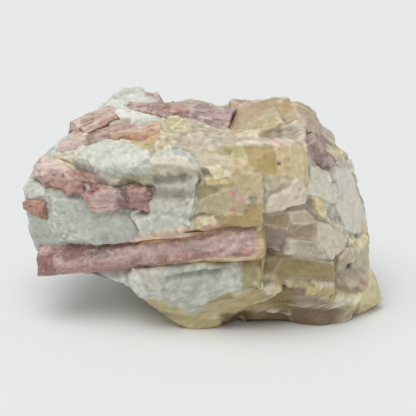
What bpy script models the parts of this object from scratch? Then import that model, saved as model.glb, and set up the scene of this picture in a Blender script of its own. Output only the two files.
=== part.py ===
"""Rubellite crystals grown in quartz and albite: one hand-sized piece of pegmatite.

The rock lies on its flat base. +X is the quartz end, -Y is the side with the long crystal and +Z is
up. The origin is the middle of the base of its bounding box. Tables are in millimetres.
"""

import bmesh
import bpy
import numpy as np
from mathutils import Matrix, Vector

MM = 0.001

# Overall form. The surface is measured out from the heart, a point inside the rock.
HEART = np.array([-1.0, 0.0, 20.0])
GIRTH_RADIUS, LENGTH_RADIUS = 21.0, 27.0  # an even spread of the grid along the rock
COLUMNS = 68  # grid lines from end to end
ALBITE_ROWS, QUARTZ_ROWS = 20, 25  # grid lines round the rock, from each end to the border
SLIDE_SHARE = 0.25  # the longest slide of a grid point to a crease, in grid spacings
GAP = 0.3  # clearance between pieces that touch
SLOT_DEPTH = 4.0  # how far outwards a crystal's pocket is cut open
BASE_CALM = 4.0  # height above the base over which the relief grows to its full strength
BASE_MIDDLE = (-0.52, 1.63)  # x and y that the finished rock is centred from

# Broken surfaces: how far the relief stands in or out, and the width of its facets.
COARSE_RELIEF, COARSE_FACET = 0.7, 7.0
FINE_RELIEF, FINE_FACET = 0.35, 3.4
BACK_RELIEF, BACK_FACET = 1.6, 12.0
BACK_STARTS, BACK_FULL = 3.0, 12.0  # y where the back's larger facets begin and reach full height
LATTICE = 24  # random heights along each side of the relief's repeating lattice
RELIEF_TURN = np.array([[0.80, 0.36, -0.48], [-0.60, 0.48, -0.64], [0.0, 0.80, 0.60]])

# Cleaved and broken lumps of the rock, each a convex block given by its corners.
BLOCKS = {
    "albite body": [
        (-36.3, -4, 25.5), (-36.3, -4.5, 20.5), (-34, -6, 14.5), (-33, -4, 10), (-26.5, -9, 9.5),
        (-16, -12, 8), (-35, -3, 27.5), (-33.5, -4, 29.5), (-30, -10, 22), (-28.5, -11, 14.5),
        (-19.5, -13.5, 32.5), (-2.5, -16.2, 32), (-4.5, -17, 21.5), (-2.5, -16.5, 12), (-11, -15, 14),
        (-20, -14, 22), (-34, 7, 14), (-35, 8, 26), (-29, 15, 16), (-28, 17, 30), (-12, 20, 10),
        (-8, 22, 33), (5, 20, 12), (5, 18, 34), (-22, 8, 6), (-12, 14, 3),
    ],
    "albite shoulder": [
        (-33.5, -4, 29.5), (-32.9, -2, 31), (-29.6, -1, 32.7), (-35, -3.5, 27.5), (-30, -9, 28.5),
        (-24, -12, 30), (-22, -12, 32.5), (-26, -6, 34), (-33, 6, 29), (-20, 2, 35), (-20, 0, 26),
    ],
    "albite top slab": [
        (-31, -2, 31.5), (-29.5, -1, 32.7), (-27, 2, 35), (-25, 5, 37), (-22.5, 8, 37.8),
        (-19.5, 12, 38.3), (-19, -12.5, 36.2), (-15, -13.5, 36.8), (-9, -11, 37.6), (-3.5, -16.5, 35.8),
        (-1.5, -18, 34.2), (-2.5, -18.2, 33), (-9, -18, 33.6), (-14.7, -16.8, 33.5), (-20, -13.5, 33),
        (-30, -5.5, 30.5), (-9, 10, 39.2), (-5, 4, 39), (-20, 17, 33), (-8, 20, 34),
    ],
    "albite back top": [
        (-19.5, 14, 38.3), (-16.5, 17, 39.3), (-10, 15, 40), (-9, 11, 39.5), (-18, 19, 34),
        (-9, 18, 35), (-12, 9, 37), (-18, 10, 36),
    ],
    "albite lobe": [
        (-13.5, -16.8, 20.5), (-4.5, -18.7, 21.5), (-2.6, -18.4, 27), (-2.2, -16.8, 32),
        (-11, -15.6, 27), (-14.5, -15.6, 24), (-8, -8, 22), (-8, -8, 30),
    ],
    "albite lower wedge": [
        (-15.5, -14.5, 13), (-15.7, -12.5, 8.1), (-12.7, -14.9, 6.8), (-3, -15.3, 2.5), (0, -16.8, 8),
        (8, -17.4, 9), (8.5, -18, 14.5), (-2, -18.5, 14.5), (-10, -17, 12), (-12, 0, 3), (5, 0, 3),
        (0, -5, 1.5),
    ],
    "albite under ledge": [
        (-22, -10.3, 8.7), (-16, -11.8, 7.6), (-26.5, -8.6, 9.4), (-16, -14, 14), (-24, -12, 14),
        (-20, -2, 10), (-20, -2, 14),
    ],
    "albite back slab": [
        (-31, 10, 13), (-33, 10, 23), (-19, 21, 12), (-22, 21, 27), (-9, 22.5, 17), (-4, 24, 27),
        (-20, 8, 9), (-8, 10, 10), (-8, 10, 28), (-28, 6, 26),
    ],
    "albite back crest": [
        (-26, 14, 27), (-13, 22, 28), (-22, 14, 35.5), (-12, 19, 36.5), (-26, 6, 36), (-8, 6, 36),
        (-10, 6, 28), (-24, 6, 28),
    ],
    "quartz plate": [
        (-4.5, -16, 21), (-1.5, -16.2, 32.5), (0, -16.8, 34.5), (5, -17.5, 35.5), (10.5, -19, 33),
        (10.7, -19.5, 22), (10.3, -19.5, 15.5), (10.4, -18.5, 10), (-4, -15, 12), (0, 0, 12),
        (0, 0, 34), (9, 0, 34), (9, 0, 12),
    ],
    "quartz plate lip": [
        (3, -17, 34.5), (5.2, -17.8, 35.5), (10.6, -19.6, 33.2), (10.8, -20.2, 26), (6, -18.6, 27),
        (2, -17.6, 31), (8, -10, 34), (8, -10, 26),
    ],
    "quartz saddle": [
        (-8.6, -1, 39.2), (-3.6, -1, 39.2), (4, -3, 37.2), (1.1, -12, 35.6), (5.2, -17, 35.2),
        (0, -17, 34.7), (-1.5, -17.6, 34.2), (-5.4, -13, 36.4), (-3.5, -8, 38), (-8, 8, 37),
        (4, 8, 37), (-6, 0, 30), (5, 0, 30), (0, -8, 28),
    ],
    "saddle behind the ridge": [
        (-9, 4, 38.6), (5, 4, 38.4), (-9, 13, 38.6), (5, 14, 37.5), (-8, 19.5, 32), (4, 18.5, 32),
        (-8, 6, 26), (4, 6, 26),
    ],
    "quartz rim": [
        (-12.7, -14.6, 6), (-9.4, -14.8, 3.4), (-2.7, -14.3, -1), (1, -13, -1), (10.4, -18, 9),
        (14.7, -17, 10.4), (10, -17, 14), (14.5, -14, 12), (-10, 0, 2), (0, 0, -3), (12, 0, -3),
    ],
    "quartz core": [
        (9, -14, 2), (10, -15, 33), (20, -12, 6), (22, -10, 22), (27, -8, -3), (32, 2, 15.5),
        (32.5, 0, 10), (29.5, 4, 24), (28, 5, 28), (26, 6, 31.5), (30, 12, 14), (27, 14, 26),
        (15, 19, 30), (5, 20, 30), (8, 14, 37.5), (16, 14, 36.5), (20, 7, 37), (-6, 12, -3),
        (10, 17, -3), (26, 11, -3), (4, -2, 36), (4, -6, -3), (18, 18, 6),
    ],
    "quartz underside": [
        (-14, -7, 4.5), (-10, -8.5, 2.5), (-3, -9, -3), (-3, 10, -3), (-10, 11, 1), (-15, 5, 4.5),
        (-14, 0, 14), (6, 0, 16), (-6, 8, 14), (-2, -8, 14), (4, 10, -3), (4, -9, -3),
    ],
    "quartz yellow block": [
        (1.1, -12, 35.5), (4.2, -13, 37.3), (10, -14, 38.4), (18, -12, 37.7), (18.7, -13, 33.5),
        (19.8, -12, 30), (18.8, -12, 28), (16.4, -17, 32.4), (10.7, -18.5, 33.3), (6, -17.5, 35.6),
        (13.6, -16, 37.8), (18, 0, 37), (5, 0, 37),
    ],
    "quartz upper ledge": [
        (10.7, -18.5, 33), (16.4, -17, 32.2), (17.5, -16, 30), (18.6, -14, 25.7), (10.6, -18.5, 26),
        (11.7, -18.5, 26), (10, -10, 33), (20, -8, 30), (20, -8, 25), (10, -10, 25),
    ],
    "quartz smoky ledge": [
        (10.6, -17, 25.2), (14.7, -16.5, 26), (17.6, -15, 26.3), (23.7, -11, 22.2), (27.9, -8, 15.2),
        (24.4, -14, 14), (15.7, -17, 17.2), (10.9, -17.5, 18), (12, -5, 24), (26, 0, 20),
        (26, 0, 14), (12, -5, 15),
    ],
    "quartz olive step": [
        (11, -15.5, 16.2), (24.3, -12.5, 13.6), (24.4, -12.5, 8.7), (13.9, -16, 11),
        (10.4, -16.5, 11.4), (12, -5, 16), (26, -2, 13), (26, -2, 8), (12, -5, 8),
    ],
    "quartz foot": [
        (14.7, -16, 10.2), (25.8, -13, 7.7), (34.5, -5, 2.2), (27, -12, 3.2), (15.2, -12, 3.6),
        (8.3, -12, 5.1), (22.6, -12.5, -0.5), (18.7, -12, -0.5), (28, -9, -1), (31, -7, 0),
        (35.6, -4, 2.2), (34.4, -2, 5), (32.4, -2, 8.1), (10, 0, -3), (28, 6, -3), (30, 8, 8),
        (10, 0, 10),
    ],
    "quartz tip": [
        (25, -12.6, 8.5), (26.5, -12.8, 3.6), (32.5, -8.2, 1.8), (35.6, -4, 2.2), (34.4, -3, 5),
        (30, -6, 9.5), (26, -4, 9), (24, -4, 3),
    ],
    "quartz crown": [
        (3.9, -2, 37), (5, 5, 40.2), (10, 6, 40.6), (14.7, 6, 41.3), (16.1, 6, 41.1),
        (16.2, 4, 41.5), (12.7, -1, 40.6), (14, -2, 39.3), (9.5, -5, 37.8), (17.5, 2, 40.2),
        (20.4, 6, 39), (6, 13, 37), (18, 13, 36), (18, -4, 38.5), (6, -4, 34), (18, -4, 34),
    ],
    "quartz flank": [
        (19.8, -5, 36.9), (18.5, -11, 37), (18, -4, 39), (20.4, 6, 39), (24.7, 4, 34.5),
        (26.2, 4, 31.5), (28.1, 4, 27.9), (29.4, 4, 23.7), (31.5, 3, 19.8), (32.1, 2, 15.6),
        (32.7, 0, 11), (32.4, -2, 8.1), (23.7, -10, 22), (28, -8, 15), (26, -9, 9), (20, -11, 30),
        (19, -12, 28), (18, 8, 10), (18, 11, 34),
    ],
    "quartz flank ledge": [
        (22, -9.5, 27), (21.5, -10.5, 21), (26, -9, 18), (29, -7, 13), (32.8, -1, 13), (31, 1, 21),
        (28, 2, 27), (20, 0, 25), (20, 0, 14),
    ],
    "quartz back slab": [
        (2, 18, 9), (7, 21, 22), (19, 17, 6), (22, 18.5, 20), (29.5, 11.5, 9), (30.5, 10, 19),
        (27, 9, 27), (10, 5, 6), (10, 5, 24),
    ],
    "quartz back crest": [
        (3, 14, 27), (1, 18, 32), (15, 15.5, 26), (18, 16, 32), (13, 12, 38), (4, 12, 38),
        (25, 9, 25), (23, 10, 33), (10, 4, 28), (10, 4, 36),
    ],
}

# Hollows broken out of the rock: convex blocks that reach out past its surface.
HOLLOWS = {
    "trough of the long rod": [
        (-40, -8, 16.6), (-40, -7, 9.5), (-22, -11.6, 18), (-22, -10.8, 11.2), (-2, -15.6, 21),
        (-2, -15, 14.4), (-40, -30, 18), (-40, -30, 7), (-2, -34, 23), (-2, -34, 12),
    ],
    "recess under the top slab": [
        (-13, -13.5, 29.6), (-3, -15.2, 29.4), (-12, -13.5, 27.6), (-4, -15.4, 27.2), (-14, -30, 33),
        (0, -30, 33), (-14, -30, 27.5), (0, -30, 26),
    ],
}

# Where the albite meets the quartz, seen from the heart, in degrees: the angle round the X axis from
# the front, positive upwards, and the angle away from the albite end.
BORDER = [
    (-180, 99), (-157, 93), (-124, 77), (-90, 62), (-62, 57), (-51, 60), (-48, 84), (-44, 96),
    (-37, 109), (-29, 118), (-20, 120), (-8, 118), (5, 79), (20, 84), (38, 88), (52, 78), (70, 72),
    (87, 68), (119, 70), (149, 92),
]

# Rubellite prisms: the ends of the axis, the radius at each end, and the roll of the prism in degrees.
RODS = {
    "rubellite_long_rod": [((-33.8, -7.2, 12.0), (10.9, -16.6, 19.3), 2.8, 3.7, 12)],
    "rubellite_upper_rod": [
        ((-28.6, -1.6, 32.6), (-19.5, -4.6, 35.8), 1.9, 2.4, 40),
        ((-21.0, -4.2, 35.6), (-9.0, -5.2, 36.8), 2.2, 2.5, 20),
    ],
    "rubellite_edge_rod": [((-26.8, 3.0, 35.3), (-18.9, 8.1, 37.5), 1.7, 1.5, 5)],
    "rubellite_edge_sliver": [((-25.0, 0.6, 35.2), (-18.4, 3.6, 37.5), 1.1, 1.1, 15)],
    "rubellite_cluster": [
        ((-33.4, -2.4, 29.2), (-20.6, -12.0, 28.6), 2.2, 3.0, 25),
        ((-22.4, -11.8, 26.4), (-10.8, -13.8, 27.2), 3.4, 3.0, 50),
    ],
    "rubellite_left_stub": [((-35.6, -3.6, 22.1), (-31.3, -7.4, 22.4), 1.5, 1.7, 30)],
    "rubellite_ridge_crystal": [((-16.2, 9.6, 38.2), (4.6, 1.8, 36.6), 1.0, 2.9, 0)],
    "rubellite_flank_crystal": [((18.4, -6.2, 36.4), (22.9, -3.2, 30.6), 2.2, 2.5, 15)],
}
PRISM_SIDES = 9
PRISM_STATIONS = 6
THREE_SIDED_SWELL = 0.08  # the bulging triangle that a tourmaline prism's section is
GROWTH_STEP = 0.05  # how much the radius varies along a crystal, as a share of it
END_CHIP = 0.22  # slant of the broken ends, in radii
END_DOME = 0.09  # how far the middle of a broken end stands out, in radii

# Base colour, roughness and metallic value of each mineral.
FINISHES = {
    "quartz": ((0.72, 0.66, 0.50), 0.35, 0.0),
    "albite": ((0.78, 0.82, 0.80), 0.70, 0.0),
    "rubellite": ((0.62, 0.36, 0.38), 0.45, 0.0),
}
TINY = 1e-9
SOFT_PULL = 0.05  # weight that keeps a sliding grid point near where it was


def clear_scene():
    """Removes the objects that the file opened with."""
    for obj in list(bpy.data.objects):
        bpy.data.objects.remove(obj)


def finish_of(mineral):
    """The material of a mineral, made once."""
    material = bpy.data.materials.get(mineral) or bpy.data.materials.new(mineral)
    material.use_nodes = True
    shader = material.node_tree.nodes["Principled BSDF"]
    colour, roughness, metallic = FINISHES[mineral]
    shader.inputs["Base Color"].default_value = (*colour, 1)
    shader.inputs["Roughness"].default_value = roughness
    shader.inputs["Metallic"].default_value = metallic
    return material


def object_of(name, bm, mineral, helper=False):
    """Turns a bmesh in millimetres into a named object in metres."""
    shift = Matrix.Translation(Vector((-BASE_MIDDLE[0], -BASE_MIDDLE[1], 0)) * MM)
    bm.transform(shift @ Matrix.Scale(MM, 4))
    bmesh.ops.triangulate(bm, faces=bm.faces)
    bmesh.ops.recalc_face_normals(bm, faces=bm.faces)
    mesh = bpy.data.meshes.new(name)
    bm.to_mesh(mesh)
    bm.free()
    mesh.materials.append(finish_of(mineral))
    obj = bpy.data.objects.new(name, mesh)
    bpy.context.scene.collection.objects.link(obj)
    if helper:
        obj.hide_render = True
        obj.display_type = "WIRE"
    return obj


def planes_of(corners):
    """Outward normals of a convex block's faces, and each face's distance from the heart."""
    bm = bmesh.new()
    for corner in corners:
        bm.verts.new(corner)
    bmesh.ops.convex_hull(bm, input=bm.verts)
    bmesh.ops.recalc_face_normals(bm, faces=bm.faces)
    bm.normal_update()
    normals = np.array([face.normal for face in bm.faces], float)
    on_face = np.array([face.verts[0].co for face in bm.faces], float)
    bm.free()
    return normals, ((on_face - HEART) * normals).sum(1)


def rock_planes(directions):
    """How far each direction runs before it leaves the rock, and the plane that it leaves through.

    A plane is crossed at its distance over the slope towards it. A ray enters a convex block at the
    last plane that faces it and leaves at the first that faces away. The rock is the furthest exit
    from any block, cut back to the entry of any hollow that the exit lies in, and to the flat base.
    """
    reach = np.zeros(len(directions))
    normal = np.zeros((len(directions), 3))
    for blocks, adding in ((BLOCKS, True), (HOLLOWS, False)):
        for corners in blocks.values():
            normals, distances = planes_of(corners)
            slope = directions @ normals.T
            crossing = distances / np.where(np.abs(slope) < TINY, TINY, slope)
            exits = np.where(slope > 0, crossing, np.inf)
            entries = np.where(slope < 0, crossing, -np.inf)
            leaves, enters = exits.min(1), entries.max(1)
            if adding:
                changed, value, plane = (leaves > enters) & (leaves > reach), leaves, exits.argmin(1)
            else:
                changed, value, plane = (enters < reach) & (reach < leaves), enters, entries.argmax(1)
            reach = np.where(changed, value, reach)
            normal[changed] = normals[plane[changed]]
    base = HEART[2] / -np.minimum(directions[:, 2], -TINY)
    normal[base < reach] = (0, 0, -1)
    return np.minimum(reach, base), normal


def faceted_relief(points, facet, seed):
    """Heights from -1 to 1 in flat facets with sharp creases between them.

    Random heights on a cubic lattice are joined by flat tetrahedra: each lattice cube is walked from
    its low corner to its high one along the axes, the longest step first.
    """
    heights = np.random.default_rng(seed).uniform(-1, 1, (LATTICE,) * 3)
    turned = points @ RELIEF_TURN
    cells = np.floor(turned / facet).astype(int)
    steps = turned / facet - cells
    order = np.argsort(-steps, axis=1)
    rows = np.arange(len(points))
    corner = cells.copy()
    result = np.zeros(len(points))
    before = np.ones(len(points))
    for turn in range(3):
        step = steps[rows, order[:, turn]]
        result += (before - step) * heights[tuple((corner % LATTICE).T)]
        corner[rows, order[:, turn]] += 1
        before = step
    return result + before * heights[tuple((corner % LATTICE).T)]


def grid_directions(rows, end):
    """Directions from the heart on a grid of rows by columns, from one end (-1 or 1) to the border.

    An angle round the X axis and an angle away from the end give each direction. The second grows
    evenly along an ellipse as long as the rock, which keeps the rows about equally far apart.
    """
    around = np.linspace(-180, 180, COLUMNS, endpoint=False)
    border = np.interp(around, *np.array(BORDER).T, period=360)
    away = np.radians(border if end < 0 else 180 - border)
    last = np.arctan2(np.sin(away) / GIRTH_RADIUS, np.cos(away) / LENGTH_RADIUS)
    turn = last[None, :] * np.linspace(0, 1, rows)[:, None]
    away = np.arctan2(GIRTH_RADIUS * np.sin(turn), LENGTH_RADIUS * np.cos(turn))
    around = np.radians(around)[None, :]
    return np.stack(
        [end * np.cos(away), -np.sin(away) * np.cos(around), np.sin(away) * np.sin(around)], -1
    )


def slide_to_creases(directions):
    """Turns each direction towards the nearest point shared by the planes of its neighbours.

    That point has the least summed squared distance from the planes that a grid point and the four
    beside it lie in. The slide is short of halfway to the nearest neighbour, so that no face folds
    over, and the end and the border stay where they are.
    """
    reach, normal = rock_planes(directions.reshape(-1, 3))
    reach = reach.reshape(directions.shape[:2])[..., None]
    points = directions * reach
    normal = normal.reshape(directions.shape)
    offset = (points * normal).sum(-1)
    pull = np.eye(3) * SOFT_PULL
    matrix = normal[..., :, None] * normal[..., None, :] + pull
    vector = normal * offset[..., None] + points @ pull
    spacing = np.full(reach.shape, np.inf)
    for down, across in ((1, 0), (-1, 0), (0, 1), (0, -1)):
        beside = np.roll(normal, (down, across), (0, 1))
        level = np.roll(offset, (down, across), (0, 1))
        matrix += beside[..., :, None] * beside[..., None, :]
        vector += beside * level[..., None]
        away = directions - np.roll(directions, (down, across), (0, 1))
        spacing = np.minimum(spacing, reach * np.linalg.norm(away, axis=-1, keepdims=True))
    step = np.linalg.solve(matrix, vector[..., None])[..., 0] - points
    length = np.linalg.norm(step, axis=-1, keepdims=True)
    step *= np.minimum(1, SLIDE_SHARE * spacing / np.maximum(length, TINY))
    step[[0, -1]] = 0
    moved = points + step
    return moved / np.linalg.norm(moved, axis=-1, keepdims=True)


def rock_points(directions):
    """The rock's surface along each direction, with broken relief on it and a flat base."""
    flat = directions.reshape(-1, 3)
    reach, _ = rock_planes(flat)
    points = flat * reach[:, None]
    relief = COARSE_RELIEF * faceted_relief(points, COARSE_FACET, seed=3)
    relief += FINE_RELIEF * faceted_relief(points, FINE_FACET, seed=8)
    behind = np.clip((points[:, 1] - BACK_STARTS) / (BACK_FULL - BACK_STARTS), 0, 1)
    relief += BACK_RELIEF * behind * faceted_relief(points, BACK_FACET, seed=5)
    reach += relief * np.clip((points[:, 2] + HEART[2]) / BASE_CALM, 0, 1)
    base = HEART[2] / -np.minimum(flat[:, 2], -TINY)
    resting = reach > base * (1 - TINY)
    points = flat * np.minimum(reach, base)[:, None] + HEART
    points[resting, 2] = 0
    return points.reshape(directions.shape)


def rock_end(rows, end):
    """One end of the rock up to the border, closed by straight lines from the border to the heart."""
    points = rock_points(slide_to_creases(grid_directions(rows, end)))
    clear = np.array([end * GAP / 2, 0, 0])
    bm = bmesh.new()
    tip = bm.verts.new(points[0, 0])
    rings = [[bm.verts.new(point) for point in ring] for ring in points[1:-1]]
    rings.append([bm.verts.new(point + clear) for point in points[-1]])
    middle = bm.verts.new(HEART + clear)
    for i in range(COLUMNS):
        j = (i + 1) % COLUMNS
        bm.faces.new((tip, rings[0][i], rings[0][j]))
        bm.faces.new((rings[-1][i], middle, rings[-1][j]))
        for low, high in zip(rings, rings[1:]):
            bm.faces.new((low[i], high[i], high[j], low[j]))
    return bm


def prism(start, end, start_radius, end_radius, roll, extra=0.0):
    """A nine-sided crystal with a bulging three-sided section and broken ends.

    The section at angle a is radius * (1 + swell * cos(3a)). The radius runs evenly from end to end
    with small seeded steps, and extra is added all round for a pocket.
    """
    start, end = Vector(start), Vector(end)
    along = (end - start).normalized()
    start, end = start - along * extra, end + along * extra
    across = along.cross(Vector((0, 0, 1))).normalized()
    upward = across.cross(along)
    angles = np.linspace(0, 2 * np.pi, PRISM_SIDES, endpoint=False)
    section = 1 + THREE_SIDED_SWELL * np.cos(3 * angles)
    seed = int(10 * start_radius + roll)
    steps = np.random.default_rng(seed).uniform(-GROWTH_STEP, GROWTH_STEP, PRISM_STATIONS)
    bm = bmesh.new()
    rings = []
    for station in range(PRISM_STATIONS):
        share = station / (PRISM_STATIONS - 1)
        radius = (start_radius + (end_radius - start_radius) * share) * (1 + steps[station]) + extra
        middle = start.lerp(end, share)
        at_end = station in (0, PRISM_STATIONS - 1)
        ring = []
        for angle, swell in zip(angles + np.radians(roll), section):
            arm = across * np.cos(angle) + upward * np.sin(angle)
            slant = END_CHIP * start_radius * np.sin(angle + station) if at_end else 0.0
            ring.append(bm.verts.new(middle + arm * radius * swell + along * slant))
        rings.append(ring)
    tips = []
    for middle, way in ((start, -1), (end, 1)):
        tips.append(bm.verts.new(middle + along * way * END_DOME * start_radius))
    for i in range(PRISM_SIDES):
        j = (i + 1) % PRISM_SIDES
        bm.faces.new((rings[0][i], rings[0][j], tips[0]))
        bm.faces.new((rings[-1][j], rings[-1][i], tips[1]))
        for low, high in zip(rings, rings[1:]):
            bm.faces.new((low[i], low[j], high[j], high[i]))
    return bm


def opened(prism_mesh, start, end):
    """Opens a pocket outwards: the convex form of a prism together with itself moved out of the rock."""
    along = (Vector(end) - Vector(start)).normalized()
    outward = (Vector(start) + Vector(end)) / 2 - Vector(HEART)
    outward = (outward - along * outward.dot(along)).normalized()
    bm = bmesh.new()
    for vert in prism_mesh.verts:
        bm.verts.new(vert.co)
        bm.verts.new(vert.co + outward * SLOT_DEPTH)
    prism_mesh.free()
    hull = bmesh.ops.convex_hull(bm, input=bm.verts)
    inside = {vert for vert in hull["geom_interior"] if isinstance(vert, bmesh.types.BMVert)}
    bmesh.ops.delete(bm, geom=list(inside), context="VERTS")
    return bm


def add_boolean(obj, other, operation):
    """Cuts obj with other, or joins other to it."""
    modifier = obj.modifiers.new(operation.title() + " " + other.name, "BOOLEAN")
    modifier.operation = operation
    modifier.object = other
    modifier.solver = "EXACT"


def keep_largest(obj):
    """Applies the cuts, and drops the crumbs that they leave beside the main body."""
    graph = bpy.context.evaluated_depsgraph_get()
    mesh = bpy.data.meshes.new_from_object(obj.evaluated_get(graph))
    obj.modifiers.clear()
    bm = bmesh.new()
    bm.from_mesh(mesh)
    unseen = set(bm.verts)
    largest = set()
    while unseen:
        body = {unseen.pop()}
        fringe = list(body)
        while fringe:
            vert = fringe.pop()
            near = {edge.other_vert(vert) for edge in vert.link_edges} & unseen
            unseen -= near
            body |= near
            fringe.extend(near)
        largest = max(largest, body, key=len)
    bmesh.ops.delete(bm, geom=[vert for vert in bm.verts if vert not in largest], context="VERTS")
    bmesh.ops.triangulate(bm, faces=bm.faces)
    bm.to_mesh(mesh)
    bm.free()
    obj.data = mesh


def make_crystals():
    """The rubellite crystals, and a slightly larger form of each prism to cut its open pocket with."""
    pockets = []
    for name, prisms in RODS.items():
        crystal = object_of(name, prism(*prisms[0]), "rubellite")
        for number, sizes in enumerate(prisms[1:]):
            joined = object_of(f"{name} join {number}", prism(*sizes), "rubellite", helper=True)
            add_boolean(crystal, joined, "UNION")
        for number, sizes in enumerate(prisms):
            larger = opened(prism(*sizes, extra=GAP), *sizes[:2])
            pockets.append(object_of(f"{name} pocket {number}", larger, "rubellite", helper=True))
    return pockets


def make_matrix(pockets):
    """The albite end and the quartz end of the rock, with the crystals' pockets cut in them."""
    for name, rows, end in (("albite", ALBITE_ROWS, -1), ("quartz", QUARTZ_ROWS, 1)):
        obj = object_of(name, rock_end(rows, end), name)
        for pocket in pockets:
            add_boolean(obj, pocket, "DIFFERENCE")
        keep_largest(obj)


def main():
    clear_scene()
    make_matrix(make_crystals())


main()
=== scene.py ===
"""The finish of a hand-sized piece of rubellite, quartz and albite: fine broken surfaces and colours.

Tables and shape work are in millimetres in the rock's design frame, whose origin is BASE_MIDDLE away
from the part's own. Meshes are written in metres in the part's frame.
"""

import bmesh
import bpy
import numpy as np
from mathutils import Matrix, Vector


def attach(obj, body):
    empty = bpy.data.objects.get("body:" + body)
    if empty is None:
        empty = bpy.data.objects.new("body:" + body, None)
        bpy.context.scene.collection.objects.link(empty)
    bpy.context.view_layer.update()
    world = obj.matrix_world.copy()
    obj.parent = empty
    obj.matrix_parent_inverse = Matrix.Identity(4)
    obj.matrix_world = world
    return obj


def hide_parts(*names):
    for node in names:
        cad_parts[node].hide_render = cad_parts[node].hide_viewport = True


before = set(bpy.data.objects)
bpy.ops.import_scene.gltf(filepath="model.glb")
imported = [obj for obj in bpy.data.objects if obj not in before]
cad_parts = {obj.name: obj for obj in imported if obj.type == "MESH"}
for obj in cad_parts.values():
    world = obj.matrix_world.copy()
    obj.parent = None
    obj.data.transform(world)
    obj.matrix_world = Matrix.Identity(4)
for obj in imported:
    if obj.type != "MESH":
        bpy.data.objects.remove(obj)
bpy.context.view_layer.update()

MM = 0.001
TINY = 1e-9

# The rock's overall form and its faceted relief, as in the solids.
HEART = np.array([-1.0, 0.0, 20.0])
GIRTH_RADIUS, LENGTH_RADIUS = 21.0, 27.0
BASE_MIDDLE = np.array([-0.52, 1.63, 0.0])
COARSE_RELIEF, COARSE_FACET = 0.7, 7.0
FINE_RELIEF, FINE_FACET = 0.35, 3.4
BACK_RELIEF, BACK_FACET = 1.6, 12.0
BACK_STARTS, BACK_FULL = 3.0, 12.0
BASE_CALM = 4.0
LATTICE = 24
RELIEF_TURN = np.array([[0.80, 0.36, -0.48], [-0.60, 0.48, -0.64], [0.0, 0.80, 0.60]])

# How the rock banks up beside a crystal: how wide, how high, and over what width it meets the crystal.
LAP_WIDTH, LAP_LIMIT, BANK = 3.2, 0.35, 0.7
LAP_SOFTNESS = 0.8

# How far the blocks' edges wander, from coarse and fine facets, about this far from the heart.
WANDER_RADIUS = 24.0
WANDERS = ((4.5, 0.7, (41, 42, 43)), (1.6, 0.3, (44, 45, 46)))

# The fine relief: the size of each kind of break, and its height on each mineral.
BLOCK_SIZE, CHIP_SIZE, GRAIN_SIZE, BREAK_SIZE = 3.6, 1.5, 0.7, 7.5
QUARTZ_BLOCKS, QUARTZ_CHIPS, QUARTZ_STEPS, QUARTZ_FACETS = 0.26, 0.05, 0.24, 0.26
ALBITE_BLOCKS, ALBITE_CHIPS, ALBITE_STEPS, ALBITE_FACETS = 0.06, 0.02, 0.14, 0.22
GRAIN_HEIGHT, CHIP_HEIGHT, BACK_BREAKS = 0.03, 0.02, 0.34
ALBITE_GLASSINESS_LIMIT = 0.2
# Painted highlights on the relief's crests: the crest height where they start, how far they reach and how
# strong they are.
CREST_HIGHLIGHT_FROM, CREST_HIGHLIGHT_REACH, CREST_HIGHLIGHT_STRENGTH = 0.04, 0.14, 5

# The fine grid over the rock, and over each crystal.
COLUMNS = 480
ALBITE_ROWS, QUARTZ_ROWS = 190, 200
CRYSTAL_COLUMNS, CRYSTAL_CAP_ROWS, CRYSTAL_LEAST_ROWS, CRYSTAL_ROW_STEP = 112, 9, 30, 0.24
GROOVES, GROOVE_DEPTH, CRACK_SPACING, CRACK_WIDTH, CRACK_DEPTH = 65, 0.04, 3.2, 0.22, 0.06

# The photo's point of view, which the colour patches are placed from.
VIEW_ELEVATION = np.radians(20)
VIEW_DISTANCE = 360.0
VIEW_TARGET = np.array([0.0, 0.0, 20.0])
LENS_MM, SENSOR_MM = 155.8, 36.0

# The minerals' finish: mottling and painted glints, pale specks in the base colour, in noise per metre;
# roughness from dull to glassy.
MOTTLE_SCALE, MOTTLE_SHADE = 900, (0.90, 1.08)
GLINT_SCALE, PAINTED_GLINT_COLOUR = 2600, (0.86, 0.84, 0.80)
ROUGHNESS = (0.8, 0.15)
QUARTZ_IOR, SCATTER_DEPTH = 1.54, 1.5

# The studio.
ROOM_COLOUR = (0.97, 0.985, 1.0)
FLOOR_COLOUR, FLOOR_ROUGHNESS, FLOOR_HALF_WIDTH = (0.90, 0.91, 0.905), 0.6, 3.0
ROOM_LIGHT = 0.45
OVERHEAD_LIGHT, OVERHEAD_SPREAD = 1.57, np.radians(55)
OVERHEAD_FROM = (-0.25, -0.25, 1.2)
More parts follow.
